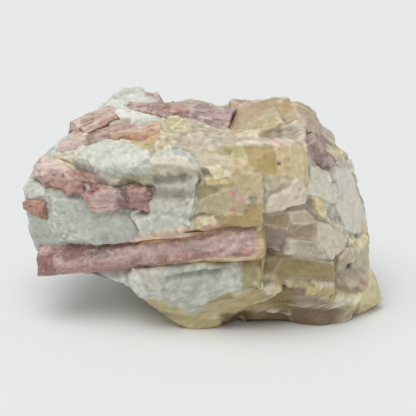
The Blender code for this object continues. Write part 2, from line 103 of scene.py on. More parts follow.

# Cleaved and broken lumps: the mineral's colour, its glassiness from 0 to 1, and the block's corners. The
# under ledge's darker bluish grey is painted shade.
BLOCKS = {
    "albite body": ((200, 205, 196), 0.15, [
        (-36.3, -4, 25.5), (-36.3, -4.5, 20.5), (-34, -6, 14.5), (-33, -4, 10), (-26.5, -9, 9.5),
        (-16, -12, 8), (-35, -3, 27.5), (-33.5, -4, 29.5), (-30, -10, 22), (-28.5, -11, 14.5),
        (-19.5, -13.5, 32.5), (-2.5, -16.2, 32), (-4.5, -17, 21.5), (-2.5, -16.5, 12), (-11, -15, 14),
        (-20, -14, 22), (-34, 7, 14), (-35, 8, 26), (-29, 15, 16), (-28, 17, 30), (-12, 20, 10),
        (-8, 22, 33), (5, 20, 12), (5, 18, 34), (-22, 8, 6), (-12, 14, 3),
    ]),
    "albite shoulder": ((204, 208, 198), 0.15, [
        (-33.5, -4, 29.5), (-32.9, -2, 31), (-29.6, -1, 32.7), (-35, -3.5, 27.5), (-30, -9, 28.5),
        (-24, -12, 30), (-22, -12, 32.5), (-26, -6, 34), (-33, 6, 29), (-20, 2, 35), (-20, 0, 26),
    ]),
    "albite top slab": ((216, 219, 208), 0.15, [
        (-31, -2, 31.5), (-29.5, -1, 32.7), (-27, 2, 35), (-25, 5, 37), (-22.5, 8, 37.8),
        (-19.5, 12, 38.3), (-19, -12.5, 36.2), (-15, -13.5, 36.8), (-9, -11, 37.6), (-3.5, -16.5, 35.8),
        (-1.5, -18, 34.2), (-2.5, -18.2, 33), (-9, -18, 33.6), (-14.7, -16.8, 33.5), (-20, -13.5, 33),
        (-30, -5.5, 30.5), (-9, 10, 39.2), (-5, 4, 39), (-20, 17, 33), (-8, 20, 34),
    ]),
    "albite back top": ((204, 211, 200), 0.15, [
        (-19.5, 14, 38.3), (-16.5, 17, 39.3), (-10, 15, 40), (-9, 11, 39.5), (-18, 19, 34),
        (-9, 18, 35), (-12, 9, 37), (-18, 10, 36),
    ]),
    "albite lobe": ((204, 207, 197), 0.15, [
        (-13.5, -16.8, 20.5), (-4.5, -18.7, 21.5), (-2.6, -18.4, 27), (-2.2, -16.8, 32),
        (-11, -15.6, 27), (-14.5, -15.6, 24), (-8, -8, 22), (-8, -8, 30),
    ]),
    "albite lower wedge": ((208, 210, 197), 0.15, [
        (-15.5, -14.5, 13), (-15.7, -12.5, 8.1), (-12.7, -14.9, 6.8), (-3, -15.3, 2.5), (0, -16.8, 8),
        (8, -17.4, 9), (8.5, -18, 14.5), (-2, -18.5, 14.5), (-10, -17, 12), (-12, 0, 3), (5, 0, 3),
        (0, -5, 1.5),
    ]),
    # Painted shade: the underside's darker bluish grey, where it faces down out of the light.
    "albite under ledge": ((186, 193, 194), 0.15, [
        (-22, -10.3, 8.7), (-16, -11.8, 7.6), (-26.5, -8.6, 9.4), (-16, -14, 14), (-24, -12, 14),
        (-20, -2, 10), (-20, -2, 14),
    ]),
    "albite back slab": ((194, 199, 190), 0.15, [
        (-31, 10, 13), (-33, 10, 23), (-19, 21, 12), (-22, 21, 27), (-9, 22.5, 17), (-4, 24, 27),
        (-20, 8, 9), (-8, 10, 10), (-8, 10, 28), (-28, 6, 26),
    ]),
    "albite back crest": ((206, 210, 200), 0.15, [
        (-26, 14, 27), (-13, 22, 28), (-22, 14, 35.5), (-12, 19, 36.5), (-26, 6, 36), (-8, 6, 36),
        (-10, 6, 28), (-24, 6, 28),
    ]),
    "quartz plate": ((178, 165, 128), 0.45, [
        (-4.5, -16, 21), (-1.5, -16.2, 32.5), (0, -16.8, 34.5), (5, -17.5, 35.5), (10.5, -19, 33),
        (10.7, -19.5, 22), (10.3, -19.5, 15.5), (10.4, -18.5, 10), (-4, -15, 12), (0, 0, 12),
        (0, 0, 34), (9, 0, 34), (9, 0, 12),
    ]),
    "quartz plate lip": ((196, 182, 142), 0.35, [
        (3, -17, 34.5), (5.2, -17.8, 35.5), (10.6, -19.6, 33.2), (10.8, -20.2, 26), (6, -18.6, 27),
        (2, -17.6, 31), (8, -10, 34), (8, -10, 26),
    ]),
    "quartz saddle": ((198, 185, 156), 0.3, [
        (-8.6, -1, 39.2), (-3.6, -1, 39.2), (4, -3, 37.2), (1.1, -12, 35.6), (5.2, -17, 35.2),
        (0, -17, 34.7), (-1.5, -17.6, 34.2), (-5.4, -13, 36.4), (-3.5, -8, 38), (-8, 8, 37),
        (4, 8, 37), (-6, 0, 30), (5, 0, 30), (0, -8, 28),
    ]),
    "saddle behind the ridge": ((200, 190, 164), 0.3, [
        (-9, 4, 38.6), (5, 4, 38.4), (-9, 13, 38.6), (5, 14, 37.5), (-8, 19.5, 32), (4, 18.5, 32),
        (-8, 6, 26), (4, 6, 26),
    ]),
    "quartz rim": ((190, 176, 130), 0.4, [
        (-12.7, -14.6, 6), (-9.4, -14.8, 3.4), (-2.7, -14.3, -1), (1, -13, -1), (10.4, -18, 9),
        (14.7, -17, 10.4), (10, -17, 14), (14.5, -14, 12), (-10, 0, 2), (0, 0, -3), (12, 0, -3),
    ]),
    "quartz core": ((204, 194, 170), 0.45, [
        (9, -14, 2), (10, -15, 33), (20, -12, 6), (22, -10, 22), (27, -8, -3), (32, 2, 15.5),
        (32.5, 0, 10), (29.5, 4, 24), (28, 5, 28), (26, 6, 31.5), (30, 12, 14), (27, 14, 26),
        (15, 19, 30), (5, 20, 30), (8, 14, 37.5), (16, 14, 36.5), (20, 7, 37), (-6, 12, -3),
        (10, 17, -3), (26, 11, -3), (4, -2, 36), (4, -6, -3), (18, 18, 6),
    ]),
    "quartz underside": ((176, 166, 136), 0.4, [
        (-14, -7, 4.5), (-10, -8.5, 2.5), (-3, -9, -3), (-3, 10, -3), (-10, 11, 1), (-15, 5, 4.5),
        (-14, 0, 14), (6, 0, 16), (-6, 8, 14), (-2, -8, 14), (4, 10, -3), (4, -9, -3),
    ]),
    "quartz yellow block": ((190, 172, 112), 0.6, [
        (1.1, -12, 35.5), (4.2, -13, 37.3), (10, -14, 38.4), (18, -12, 37.7), (18.7, -13, 33.5),
        (19.8, -12, 30), (18.8, -12, 28), (16.4, -17, 32.4), (10.7, -18.5, 33.3), (6, -17.5, 35.6),
        (13.6, -16, 37.8), (18, 0, 37), (5, 0, 37),
    ]),
    "quartz upper ledge": ((212, 203, 187), 0.6, [
        (10.7, -18.5, 33), (16.4, -17, 32.2), (17.5, -16, 30), (18.6, -14, 25.7), (10.6, -18.5, 26),
        (11.7, -18.5, 26), (10, -10, 33), (20, -8, 30), (20, -8, 25), (10, -10, 25),
    ]),
    "quartz smoky ledge": ((172, 157, 134), 0.75, [
        (10.6, -17, 25.2), (14.7, -16.5, 26), (17.6, -15, 26.3), (23.7, -11, 22.2), (27.9, -8, 15.2),
        (24.4, -14, 14), (15.7, -17, 17.2), (10.9, -17.5, 18), (12, -5, 24), (26, 0, 20),
        (26, 0, 14), (12, -5, 15),
    ]),
    "quartz olive step": ((158, 142, 102), 0.55, [
        (11, -15.5, 16.2), (24.3, -12.5, 13.6), (24.4, -12.5, 8.7), (13.9, -16, 11),
        (10.4, -16.5, 11.4), (12, -5, 16), (26, -2, 13), (26, -2, 8), (12, -5, 8),
    ]),
    "quartz foot": ((176, 162, 130), 0.5, [
        (14.7, -16, 10.2), (25.8, -13, 7.7), (34.5, -5, 2.2), (27, -12, 3.2), (15.2, -12, 3.6),
        (8.3, -12, 5.1), (22.6, -12.5, -0.5), (18.7, -12, -0.5), (28, -9, -1), (31, -7, 0),
        (35.6, -4, 2.2), (34.4, -2, 5), (32.4, -2, 8.1), (10, 0, -3), (28, 6, -3), (30, 8, 8),
        (10, 0, 10),
    ]),
    "quartz tip": ((196, 184, 136), 0.5, [
        (25, -12.6, 8.5), (26.5, -12.8, 3.6), (32.5, -8.2, 1.8), (35.6, -4, 2.2), (34.4, -3, 5),
        (30, -6, 9.5), (26, -4, 9), (24, -4, 3),
    ]),
    "quartz crown": ((196, 176, 144), 0.55, [
        (3.9, -2, 37), (5, 5, 40.2), (10, 6, 40.6), (14.7, 6, 41.3), (16.1, 6, 41.1),
        (16.2, 4, 41.5), (12.7, -1, 40.6), (14, -2, 39.3), (9.5, -5, 37.8), (17.5, 2, 40.2),
        (20.4, 6, 39), (6, 13, 37), (18, 13, 36), (18, -4, 38.5), (6, -4, 34), (18, -4, 34),
    ]),
    "quartz flank": ((206, 200, 184), 0.55, [
        (19.8, -5, 36.9), (18.5, -11, 37), (18, -4, 39), (20.4, 6, 39), (24.7, 4, 34.5),
        (26.2, 4, 31.5), (28.1, 4, 27.9), (29.4, 4, 23.7), (31.5, 3, 19.8), (32.1, 2, 15.6),
        (32.7, 0, 11), (32.4, -2, 8.1), (23.7, -10, 22), (28, -8, 15), (26, -9, 9), (20, -11, 30),
        (19, -12, 28), (18, 8, 10), (18, 11, 34),
    ]),
    "quartz flank ledge": ((198, 188, 168), 0.5, [
        (22, -9.5, 27), (21.5, -10.5, 21), (26, -9, 18), (29, -7, 13), (32.8, -1, 13), (31, 1, 21),
        (28, 2, 27), (20, 0, 25), (20, 0, 14),
    ]),
    "quartz back slab": ((196, 186, 160), 0.5, [
        (2, 18, 9), (7, 21, 22), (19, 17, 6), (22, 18.5, 20), (29.5, 11.5, 9), (30.5, 10, 19),
        (27, 9, 27), (10, 5, 6), (10, 5, 24),
    ]),
    "quartz back crest": ((204, 196, 172), 0.5, [
        (3, 14, 27), (1, 18, 32), (15, 15.5, 26), (18, 16, 32), (13, 12, 38), (4, 12, 38),
        (25, 9, 25), (23, 10, 33), (10, 4, 28), (10, 4, 36),
    ]),
}

# What is broken out of the rock, as a convex block.
HOLLOWS = {
    "recess under the top slab": [
        (-13, -13.5, 29.6), (-3, -15.2, 29.4), (-12, -13.5, 27.6), (-4, -15.4, 27.2), (-14, -30, 33),
        (0, -30, 33), (-14, -30, 27.5), (0, -30, 26),
    ],
}

# Where the albite meets the quartz: the angle round the X axis and the angle from the albite end.
BORDER = [
    (-180, 99), (-157, 93), (-124, 77), (-90, 62), (-62, 57), (-51, 60), (-48, 84), (-44, 96),
    (-37, 109), (-29, 118), (-20, 120), (-8, 118), (5, 79), (20, 84), (38, 88), (52, 78), (70, 72),
    (87, 68), (119, 70), (149, 92),
]

# Rubellite crystals: the prism's number of sides, its roll in degrees, how lumpy it is, how far up its
# radius the rock laps, and stations along its axis (x, y, z, radius).
CRYSTALS = {
    "rubellite_long_rod": (6, -18, 0.14, 0.12, [(-32.9, -7.3, 11.6, 3.3), (10.9, -16.6, 19.3, 3.8)]),
    "rubellite_upper_rod": (7, 40, 0.4, 0.3, [
        (-28.6, -1.8, 32.4, 2.2), (-20.2, -4.6, 35.6, 2.5), (-9.0, -5.4, 36.8, 2.7),
    ]),
    "rubellite_edge_rod": (6, 5, 0.35, 0.1, [(-26.8, 3.0, 35.3, 1.8), (-18.9, 8.1, 37.5, 1.6)]),
    "rubellite_edge_sliver": (6, 15, 0.3, 0.1, [(-25.0, 0.6, 35.2, 1.3), (-18.4, 3.6, 37.5, 1.2)]),
    "rubellite_cluster": (5, 35, 0.7, 0.15, [
        (-33.4, -2.4, 29.2, 2.3), (-27.8, -6.6, 28.9, 3.1), (-22.6, -10.6, 28.5, 2.7),
        (-20.2, -12.2, 26.6, 3.5), (-16.6, -12.9, 27.0, 3.0), (-10.8, -13.8, 27.2, 3.2),
    ]),
    "rubellite_left_stub": (6, 30, 0.3, 0.1, [(-35.6, -3.6, 22.1, 1.5), (-31.3, -7.4, 22.4, 1.8)]),
    "rubellite_ridge_crystal": (6, 0, 0.45, -0.3, [
        (-16.2, 9.6, 38.2, 1.1), (-5.0, 3.8, 38.1, 2.6), (4.6, 0.2, 36.9, 3.2),
    ]),
    "rubellite_flank_crystal": (6, 15, 0.5, 0.2, [(18.4, -6.2, 36.4, 2.3), (22.9, -3.2, 30.6, 2.6)]),
}

# Patches of the rock as the photo's viewer sees them: colour, strength, how far it is raised, how much
# calmer its relief is, how ragged its outline is, and the outline's corners, in millimetres right of and
# above the middle of the view.
ROCK_PATCHES = {
    # albite end, from the top down
    "slab": ((240, 240, 230), 0.8, -0.9, 0.7, 0.3, [
        (-20.4, 22), (-18.4, 26), (-12.7, 26), (-9.2, 21.6), (-15.4, 21.3)]),
    "slab's pink edge": ((196, 146, 146), 0.9, 0.1, 0, 0.15, [
        (-12.7, 25), (-9.5, 25), (-8.8, 21.6), (-9.6, 21.6), (-10.2, 22.7), (-12.6, 22.9)]),
    "upper band": ((242, 244, 232), 0.9, 0.1, 0.6, 0.4, [
        (-24, 19), (-18.7, 21.3), (-9.7, 18.5), (-13.4, 17.6), (-20, 18.1)]),
    "edge stain": ((222, 186, 158), 0.8, 0, 0, 0.5, [
        (-27, 16), (-21.4, 19.6), (-18.4, 20), (-20, 18.3), (-19.7, 17.6), (-22, 17.3), (-25.3, 14.7),
        (-27.3, 14)]),
    "brown recess": ((190, 170, 148), 0.85, -0.7, 0, 0.4, [
        (-24.7, 16), (-21.7, 17.6), (-19.4, 17.5), (-15.4, 18), (-15.7, 17), (-20, 15.3), (-23.7, 12.7),
        (-24, 14.7)]),
    "orange stain": ((222, 182, 142), 0.9, 0.2, 0, 0.7, [
        (-19, 14), (-15.4, 16), (-10.1, 17.3), (-8.7, 15.3), (-10.1, 13.3), (-14.1, 12.3), (-17, 12.7)]),
    "yellow hem": ((214, 194, 146), 0.9, 0.3, 0, 0.5, [
        (-19.4, 12.9), (-14.1, 12.8), (-9.4, 13.6), (-10.4, 11.3), (-15.4, 12)]),
    "yellow crust": ((216, 204, 166), 0.9, 0.5, 0, 0.8, [
        (-9.7, 18), (-6.1, 18.3), (-3.1, 16.6), (-6.1, 14.3), (-6.8, 11.7), (-10.4, 11.2), (-9.4, 14.3)]),
    "pinkish crust": ((214, 196, 176), 0.9, 0.2, 0.2, 0.7, [
        (-6.1, 14.3), (-3.4, 15.2), (1.2, 13.9), (2.2, 11.7), (-2.8, 11.7), (-5.8, 12)]),
    "grainy beige": ((216, 204, 176), 0.85, 0.1, 0.4, 0.6, [
        (-3.4, 11.3), (2.2, 12.3), (5.2, 11.4), (5.2, 7), (-1.5, 7.7), (-2.4, 10.3)]),
    "white band": ((229, 231, 216), 0.8, 0.3, 0.6, 0.6, [
        (-31, 11.3), (-24, 12.3), (-19, 13.7), (-11.4, 11), (-11.4, 9.7), (-17.4, 6.7), (-21.4, 7.7),
        (-24.7, 9.7), (-32, 10)]),
    "cream on the shoulder": ((236, 228, 198), 0.7, 0, 0, 0.6, [
        (-31.5, 10.4), (-25.5, 11.4), (-24, 10.4), (-27, 9.6), (-31, 9.6)]),
    "slab edge": ((230, 222, 200), 0.9, 0.3, 0.7, 0.25, [
        (-11.4, 10), (-6.1, 10.7), (-4.1, 9.9), (-3, 8.4), (-11.4, 8.5)]),
    "slab underside": ((198, 184, 154), 0.8, 0, 0.8, 0.3, [
        (-11.4, 8.6), (-3, 8.4), (-1.4, 6.9), (-5.4, 6.4), (-12.1, 7)]),
    "shaded recess": ((186, 180, 156), 0.85, -0.6, 0.3, 0.3, [
        (-11.4, 6.6), (-4.8, 6.5), (-2.6, 6.1), (-6.1, 5), (-10.7, 4.8)]),
    "olive patch": ((206, 196, 154), 0.85, -0.1, 0.3, 0.8, [
        (-19.7, 6), (-11.1, 7), (-11.1, 5), (-15.4, 3.9), (-15.7, 5), (-19, 4.4)]),
    "cream spots": ((248, 238, 212), 0.9, 0.2, 0, 0.4, [
        (-19.9, 6.1), (-17.4, 5.9), (-17.9, 4.3), (-19.9, 4.4)]),
    "left lump": ((232, 234, 224), 0.85, 0.3, 0.5, 0.4, [
        (-36.6, 5), (-34.3, 6.4), (-32.6, 5), (-32.6, 2.4), (-36.6, 1.8), (-37.1, 3.7)]),
    "yellow by the cluster": ((242, 220, 178), 0.9, 0.2, 0, 0.3, [
        (-32.8, 5.9), (-31, 4.6), (-28.6, 3.4), (-32, 3.7)]),
    "dark left facet": ((190, 193, 181), 0.85, 0, 0.7, 0.3, [
        (-35.6, -1.9), (-32.3, -2.9), (-29.6, -6.1), (-34.5, -7.8), (-35, -4.2)]),
    "front face": ((214, 215, 202), 0.6, 0, 0.6, 0.6, [
        (-31, 2), (-24, 1.4), (-23, -1.2), (-16, -1.6), (-14.6, -4.8), (-22, -6.2), (-29, -6.2), (-31, -3)]),
    "white wedge": ((216, 213, 198), 0.85, 0.2, 0.7, 0.3, [
        (-10.4, 4.4), (-2.1, 6.4), (-3.9, 1.1), (-9, -1), (-14.1, -1.9)]),
    "bright lobe": ((218, 217, 204), 0.85, 0.4, 0.7, 0.3, [
        (-14.4, -2.1), (-9, -1.2), (-3.4, -2.6), (-3.8, -4.2), (-6.8, -4.6), (-13.4, -5.2), (-14.1, -3.6)]),
    # Painted shade: a grey line where shade falls into the crack.
    "curved crack in painted shade": ((150, 150, 138), 0.9, -0.3, 0, 0.1, [
        (-15.7, -1.7), (-14.6, -2.9), (-13.7, -4.8), (-14.2, -4.8), (-15, -3.2), (-16, -2)]),
    "bluish facet": ((236, 236, 232), 0.9, 0, 0.4, 0.4, [
        (-27.5, -13), (-17.4, -12), (-15.7, -15.9), (-20, -15.9), (-26, -15)]),
    "wedge's bright edge": ((234, 233, 220), 0.9, 0.3, 0.5, 0.4, [
        (-16, -11.9), (-14.1, -12.5), (-12.1, -17.2), (-13.7, -17.9), (-15.7, -15.5)]),
    "wedge's stained face": ((222, 216, 196), 0.5, 0, 0.5, 0.8, [
        (-13, -12.5), (-9, -12.3), (-10, -16), (-12.5, -16.5)]),
    "left rim": ((206, 192, 142), 0.95, 0.1, 0.4, 0.6, [
        (-13.3, -18.3), (-10.1, -18.3), (-2.8, -21.3), (2.4, -19.6), (2.4, -24), (-2.8, -25), (-8.7, -23),
        (-13, -20.5)]),
    "right rim": ((196, 180, 130), 0.95, 0.1, 0.5, 0.5, [
        (2.4, -19.6), (6.4, -17.2), (15, -15.3), (10.7, -18.5), (5.7, -20.8), (2.4, -24)]),
    "rust above the rod": ((240, 208, 178), 0.9, 0.1, 0.2, 0.6, [
        (-16, -6.2), (-9.6, -4.6), (-4.6, -3.5), (2, -2.6), (3.2, -4), (2.8, -5.5), (-14.4, -8)]),
    # quartz plate
    "cream crust": ((242, 222, 182), 0.95, 0.7, 0, 0.4, [
        (-4.4, -2.5), (-1, -1.6), (1.2, -1.4), (1.9, -3.3), (-4.2, -4.6)]),
    "pale plate edge": ((230, 224, 204), 0.85, 0.2, 0.5, 0.3, [
        (-4, 1.7), (-0.3, 2.6), (-1.7, -0.9), (-4.2, -2)]),
    "grainy plate": ((214, 196, 156), 0.85, 0.1, 0.4, 0.6, [
        (4.4, 10.6), (7.4, 9.4), (11.3, 7), (11.7, 2.4), (7, 2.2), (5.4, 4.6), (4.4, 6.6)]),
    "plate face": ((206, 192, 154), 0.9, 0, 0.8, 0.3, [
        (-1.6, 1.9), (5.2, 4.4), (6.4, 2.4), (5.4, -0.9), (2.4, -1.6), (-1.9, -0.9)]),
    "olive recess": ((204, 188, 140), 0.9, -0.35, 0.3, 0.25, [
        (-2.3, 4.6), (0, 4.7), (5, 5.1), (5.2, 4.4), (1, 3), (-1.8, 1.9)]),
    "cream block": ((244, 230, 190), 0.95, 0.6, 0.2, 0.4, [
        (-0.5, 8.2), (2.4, 8.6), (4.4, 6.4), (2, 5.7), (0.7, 6.7)]),
    "yellow lip": ((226, 202, 134), 0.9, 0.3, 0.2, 0.3, [
        (-0.6, 6.6), (2, 5.7), (4.6, 6.1), (4.9, 4.9), (0, 4.5)]),
    "brown band": ((196, 170, 114), 0.9, -0.1, 0.4, 0.4, [
        (2.4, -1.6), (6, -1), (9.7, 1.1), (11, -0.9), (10.7, -3.6), (2.4, -3.9)]),
    "pink blush": ((230, 200, 168), 0.5, 0, 0.5, 1.2, [
        (4.4, 3.4), (7.3, 2.7), (8.7, 0.4), (6.4, -1.3), (3.4, -0.9), (4.4, 1.1)]),
    "pink speck, upper": ((228, 150, 152), 0.75, 0, 0, 0.5, [
        (4.2, 3.3), (5.3, 3.3), (5.4, 2.4), (4.4, 2.3)]),
    "pink speck, middle": ((238, 186, 178), 0.75, 0, 0, 0.5, [
        (5.9, 2.3), (7.2, 2.1), (7.4, 1.2), (6.2, 1.4)]),
    "pink speck, right": ((250, 204, 196), 0.7, 0, 0, 0.5, [
        (7.1, 1), (8.3, 0.9), (8.4, 0), (7.3, 0.2)]),
    "pink speck, lower": ((226, 158, 152), 0.7, 0, 0, 0.5, [
        (4.2, 0), (5.3, 0.1), (5.5, -1), (4.4, -1)]),
    "brown edge": ((200, 176, 124), 0.9, 0, 0.3, 0.25, [
        (9.7, -3.6), (11, -2.9), (11, -10.9), (10.7, -14.2), (9.6, -14.2)]),
    "green corner": ((180, 170, 122), 0.9, 0, 0.5, 0.4, [
        (6.7, -12.5), (10, -11.3), (10.5, -15.9), (6.7, -16.7)]),
    # top of the quartz
    "grainy streak": ((210, 198, 178), 0.85, 0.2, 0.3, 0.5, [
        (-1.6, 15), (10.3, 13.9), (10.3, 12.9), (5.7, 12.5), (0.7, 11.5), (-3.6, 12.5)]),
    "beige crystal": ((192, 168, 134), 0.9, 0.2, 0.85, 0.25, [
        (4.2, 20), (9, 21.3), (14.3, 23), (15, 21.3), (13, 19.6), (10.3, 17.6), (5.4, 15), (4.2, 16)]),
    "its pink edge": ((212, 184, 168), 0.85, 0.1, 0.3, 0.2, [
        (4.4, 20.6), (9, 22), (14.3, 23.6), (14.3, 21.9), (9, 20.6), (4.4, 19.2)]),
    "yellow facet": ((200, 186, 140), 0.9, -0.1, 0.7, 0.2, [
        (13, 19.4), (14.4, 17.6), (13.6, 16), (6.2, 14.9), (10.3, 17.5)]),
    "ochre notch": ((202, 174, 124), 0.85, -0.3, 0.3, 0.3, [
        (13.3, 20.6), (16.6, 22), (17.6, 20.6), (15, 18.3)]),
    "grey lump": ((192, 180, 160), 0.9, 0.4, 0.5, 0.3, [
        (12, 15), (15, 16.5), (17.6, 17.4), (19.6, 15.2), (19.8, 13.5), (17.6, 13), (13, 13.4)]),
    # Painted shade: the darker side of the raised grey lump.
    "lump's side in painted shade": ((170, 156, 130), 0.9, -0.2, 0.3, 0.3, [
        (9.5, 14.2), (14.3, 16.3), (15.2, 14.4), (13, 13.4), (10.3, 13.3)]),
    "cream patch": ((238, 226, 196), 0.9, 0.1, 0.5, 0.3, [
        (5.2, 14.7), (10.3, 16), (10, 14.3), (6, 14)]),
    "striped edge": ((202, 178, 154), 0.85, 0.1, 0.6, 0.4, [
        (16.8, 21.2), (20.3, 19.9), (22.8, 16.5), (24.2, 14), (21.6, 14.9), (19.6, 15.8), (17.6, 18.6)]),
    "cream by the purple": ((232, 218, 176), 0.85, 0.1, 0, 0.4, [
        (24.2, 13.8), (26.8, 12.3), (26.8, 9.6), (24.7, 10)]),
    "purple stain": ((176, 150, 136), 0.9, 0, 0, 0.5, [
        (19.8, 14.3), (21.6, 15), (23.9, 13.3), (24.3, 10.3), (22.9, 8.7), (20.9, 9.3), (19.8, 11)]),
    # yellow block and the ledge below it
    "green wedge": ((180, 172, 116), 0.9, 0.1, 0.7, 0.25, [
        (0.6, 11.3), (4, 12.3), (7.5, 12.7), (8.1, 9), (4.7, 10.7)]),
    "amber face": ((190, 166, 106), 0.9, 0, 0.8, 0.2, [
        (7.3, 12.7), (13, 12.7), (14.3, 6.7), (11.3, 6.7), (8.1, 8.4)]),
    "ochre face": ((234, 214, 168), 0.9, 0.2, 0.6, 0.3, [
        (13, 12.7), (19.4, 12.5), (20, 7.4), (20.7, 5.7), (19.8, 2.8), (17.8, 5.7), (14.3, 6.7)]),
    "block's white edge": ((226, 214, 190), 0.9, 0.2, 0.3, 0.4, [
        (5, 12.6), (10.3, 13.6), (19.7, 13.5), (19.5, 12.4), (13, 12.5), (7, 12.4)]),
    "pink dots": ((230, 186, 180), 0.85, 0, 0, 0.9, [
        (12.3, 13.4), (14.6, 13), (14.6, 12.2), (12.8, 12.6)]),
    "dark dot": ((96, 72, 44), 0.9, -0.3, 0, 0.05, [
        (14, 9.1), (14.5, 9.1), (14.5, 8.6), (14, 8.6)]),
    "ledge stripes": ((222, 204, 174), 0.85, -0.1, 0.5, 0.25, [
        (11.3, 5.8), (17.2, 6.2), (16.6, 4.4), (12.3, 2.4)]),
    "ledge face": ((236, 220, 198), 0.9, 0.4, 0.7, 0.2, [
        (11.1, -0.9), (12.2, 2.2), (16.3, 4.2), (17.7, 6.2), (19.4, 3.6), (19.1, 1.1), (15, -0.1)]),
    # smoky facets
    "smoky upper": ((174, 152, 122), 0.9, 0.1, 0.8, 0.15, [
        (11, -1.2), (16, -0.7), (16.7, -1.8), (16, -4.7), (11, -3.3)]),
    "smoky light": ((206, 190, 166), 0.9, 0.3, 0.8, 0.15, [
        (16, -0.7), (19.6, -0.3), (21.8, -2.6), (21.1, -3.4), (16.8, -3.3)]),
    "smoky brown": ((180, 158, 126), 0.9, 0, 0.8, 0.15, [
        (16.8, -3.3), (21.7, -3.3), (21.7, -6.4), (15.8, -6.3)]),
    "smoky dark": ((164, 146, 128), 0.9, -0.3, 0.8, 0.15, [
        (11, -3.3), (16, -4.7), (15.6, -8.1), (11, -8.8)]),
    "white edged facet": ((200, 187, 170), 0.9, 0.4, 0.7, 0.2, [
        (15.8, -6.3), (21.7, -6.4), (25.2, -10.2), (25.1, -11.4), (15, -9.3)]),
    "light grey facet": ((230, 220, 200), 0.9, 0.2, 0.7, 0.2, [
        (21.7, -2.6), (24.3, -3.2), (27.9, -6.2), (27.6, -7.6), (24.9, -10.2), (21.8, -6.5)]),
    "groove's dark end": ((166, 146, 104), 0.9, -0.3, 0.5, 0.25, [
        (11, -9), (15, -9.4), (14.5, -11.9), (11, -13.4)]),
    "olive groove": ((180, 160, 112), 0.9, -0.2, 0.8, 0.2, [
        (15, -9.4), (25.3, -11.5), (25.6, -14.7), (14.3, -14), (13.7, -11.9)]),
    # flank
    "pale flank": ((244, 238, 218), 0.85, 0.2, 0.8, 0.3, [
        (20.6, 8.4), (23.6, 8.4), (24.6, 5.4), (25.6, 4), (26.3, 1.1), (24.3, 1.1), (21.6, 2.4),
        (19.6, 2.9)]),
    "white flank line": ((250, 246, 236), 0.9, 0.3, 0, 0.1, [
        (22.9, 8.4), (23.4, 8.4), (24.9, 5.4), (24.4, 5.3)]),
    "grey flank": ((246, 240, 226), 0.8, 0, 0.85, 0.3, [
        (24.6, 8.4), (28.2, 8.7), (31.2, 0.4), (31.8, -2.9), (30.2, -5.3), (27.6, -4.3), (25.6, 0.4),
        (26.3, 3.7)]),
    "upper yellow stain": ((248, 230, 176), 0.85, 0.15, 0.2, 0.8, [
        (20.8, 2.1), (22.9, 1.7), (24, -0.8), (23, -2), (21.6, -0.4)]),
    "thin stain": ((250, 236, 204), 0.6, 0.1, 0.3, 0.7, [
        (23.4, -0.6), (28.2, -5.6), (27.7, -6.7), (24.3, -2.9), (22.9, -2)]),
    "right yellow stain": ((252, 236, 190), 0.9, 0.15, 0.2, 0.8, [
        (27.9, -6.2), (31.8, -5.4), (32.4, -7.2), (31.6, -7.9), (29.9, -8.6), (28.6, -6.9)]),
    "edge stain right": ((244, 230, 188), 0.85, 0, 0, 0.8, [
        (30.4, -2.1), (32, -3.1), (32, -5.1), (30.6, -4.3)]),
    "lower right facet": ((216, 200, 168), 0.85, 0.2, 0.7, 0.3, [
        (25.7, -11), (27.2, -8), (31.6, -7.8), (32.4, -10.6), (32.1, -14.5), (31.6, -15.9), (25.8, -15.4)]),
    "purple grey": ((198, 182, 160), 0.85, 0, 0.7, 0.3, [
        (28.2, -11.9), (31.6, -11.9), (31.2, -15.2), (26.3, -14.2), (25.9, -12.5)]),
    # Painted shade: the dark inside of a pit.
    "pit in painted shade": ((58, 50, 44), 0.95, -1.0, 0, 0.1, [
        (27.8, -11.2), (28.5, -11.2), (28.5, -12), (27.8, -12)]),
    "brown square": ((190, 164, 134), 0.9, 0.1, 0.3, 0.15, [
        (29.9, -14.4), (32.1, -14.4), (32.1, -16.2), (30.2, -16)]),
    # foot
    "pale foot edge": ((192, 174, 126), 0.9, 0.15, 0.3, 0.5, [
        (13.4, -14.1), (25.6, -15), (25.4, -15.9), (19.6, -16), (15, -16), (10.9, -18.3)]),
    "olive foot": ((160, 138, 86), 0.9, -0.2, 0.4, 0.3, [
        (15, -16), (17, -16), (17.6, -17.8), (16.3, -20.6), (5.7, -20.9), (10.7, -18.5)]),
    "mauve spot": ((140, 116, 100), 0.9, -0.1, 0.4, 0.3, [
        (17, -15.8), (19.6, -15.8), (19.6, -17.5), (17, -17.8)]),
    "brown yellow foot": ((216, 196, 140), 0.9, 0.1, 0.3, 0.3, [
        (19.6, -15.9), (25.3, -15.7), (25.6, -18.5), (21.9, -17.5), (19.6, -17.5)]),
    "mauve band": ((162, 142, 122), 0.9, 0, 0.6, 0.3, [
        (16.6, -17.8), (21.9, -17.5), (24.9, -18.5), (24.6, -19.6), (17, -19.4)]),
    "white foot line": ((236, 224, 200), 0.9, 0.1, 0.3, 0.15, [
        (16.3, -19.5), (26.3, -19.4), (26.3, -19.8), (16.3, -19.9)]),
    "grey foot": ((134, 112, 84), 0.9, -0.1, 0.7, 0.3, [
        (16.3, -19.9), (26.3, -19.8), (27.5, -20.6), (23.9, -24), (16.3, -24)]),
    "dark foot": ((116, 94, 58), 0.8, -0.2, 0.2, 0.4, [
        (2.6, -21.5), (6, -20.8), (16.3, -20.8), (16.3, -24), (2.6, -24)]),
    "cream foot": ((250, 236, 194), 0.9, 0.15, 0.3, 0.6, [
        (25.6, -17.2), (31.2, -17.2), (29.9, -19.2), (25.6, -19.8)]),
    "yellow tip": ((226, 216, 168), 0.85, 0.1, 0.7, 0.3, [
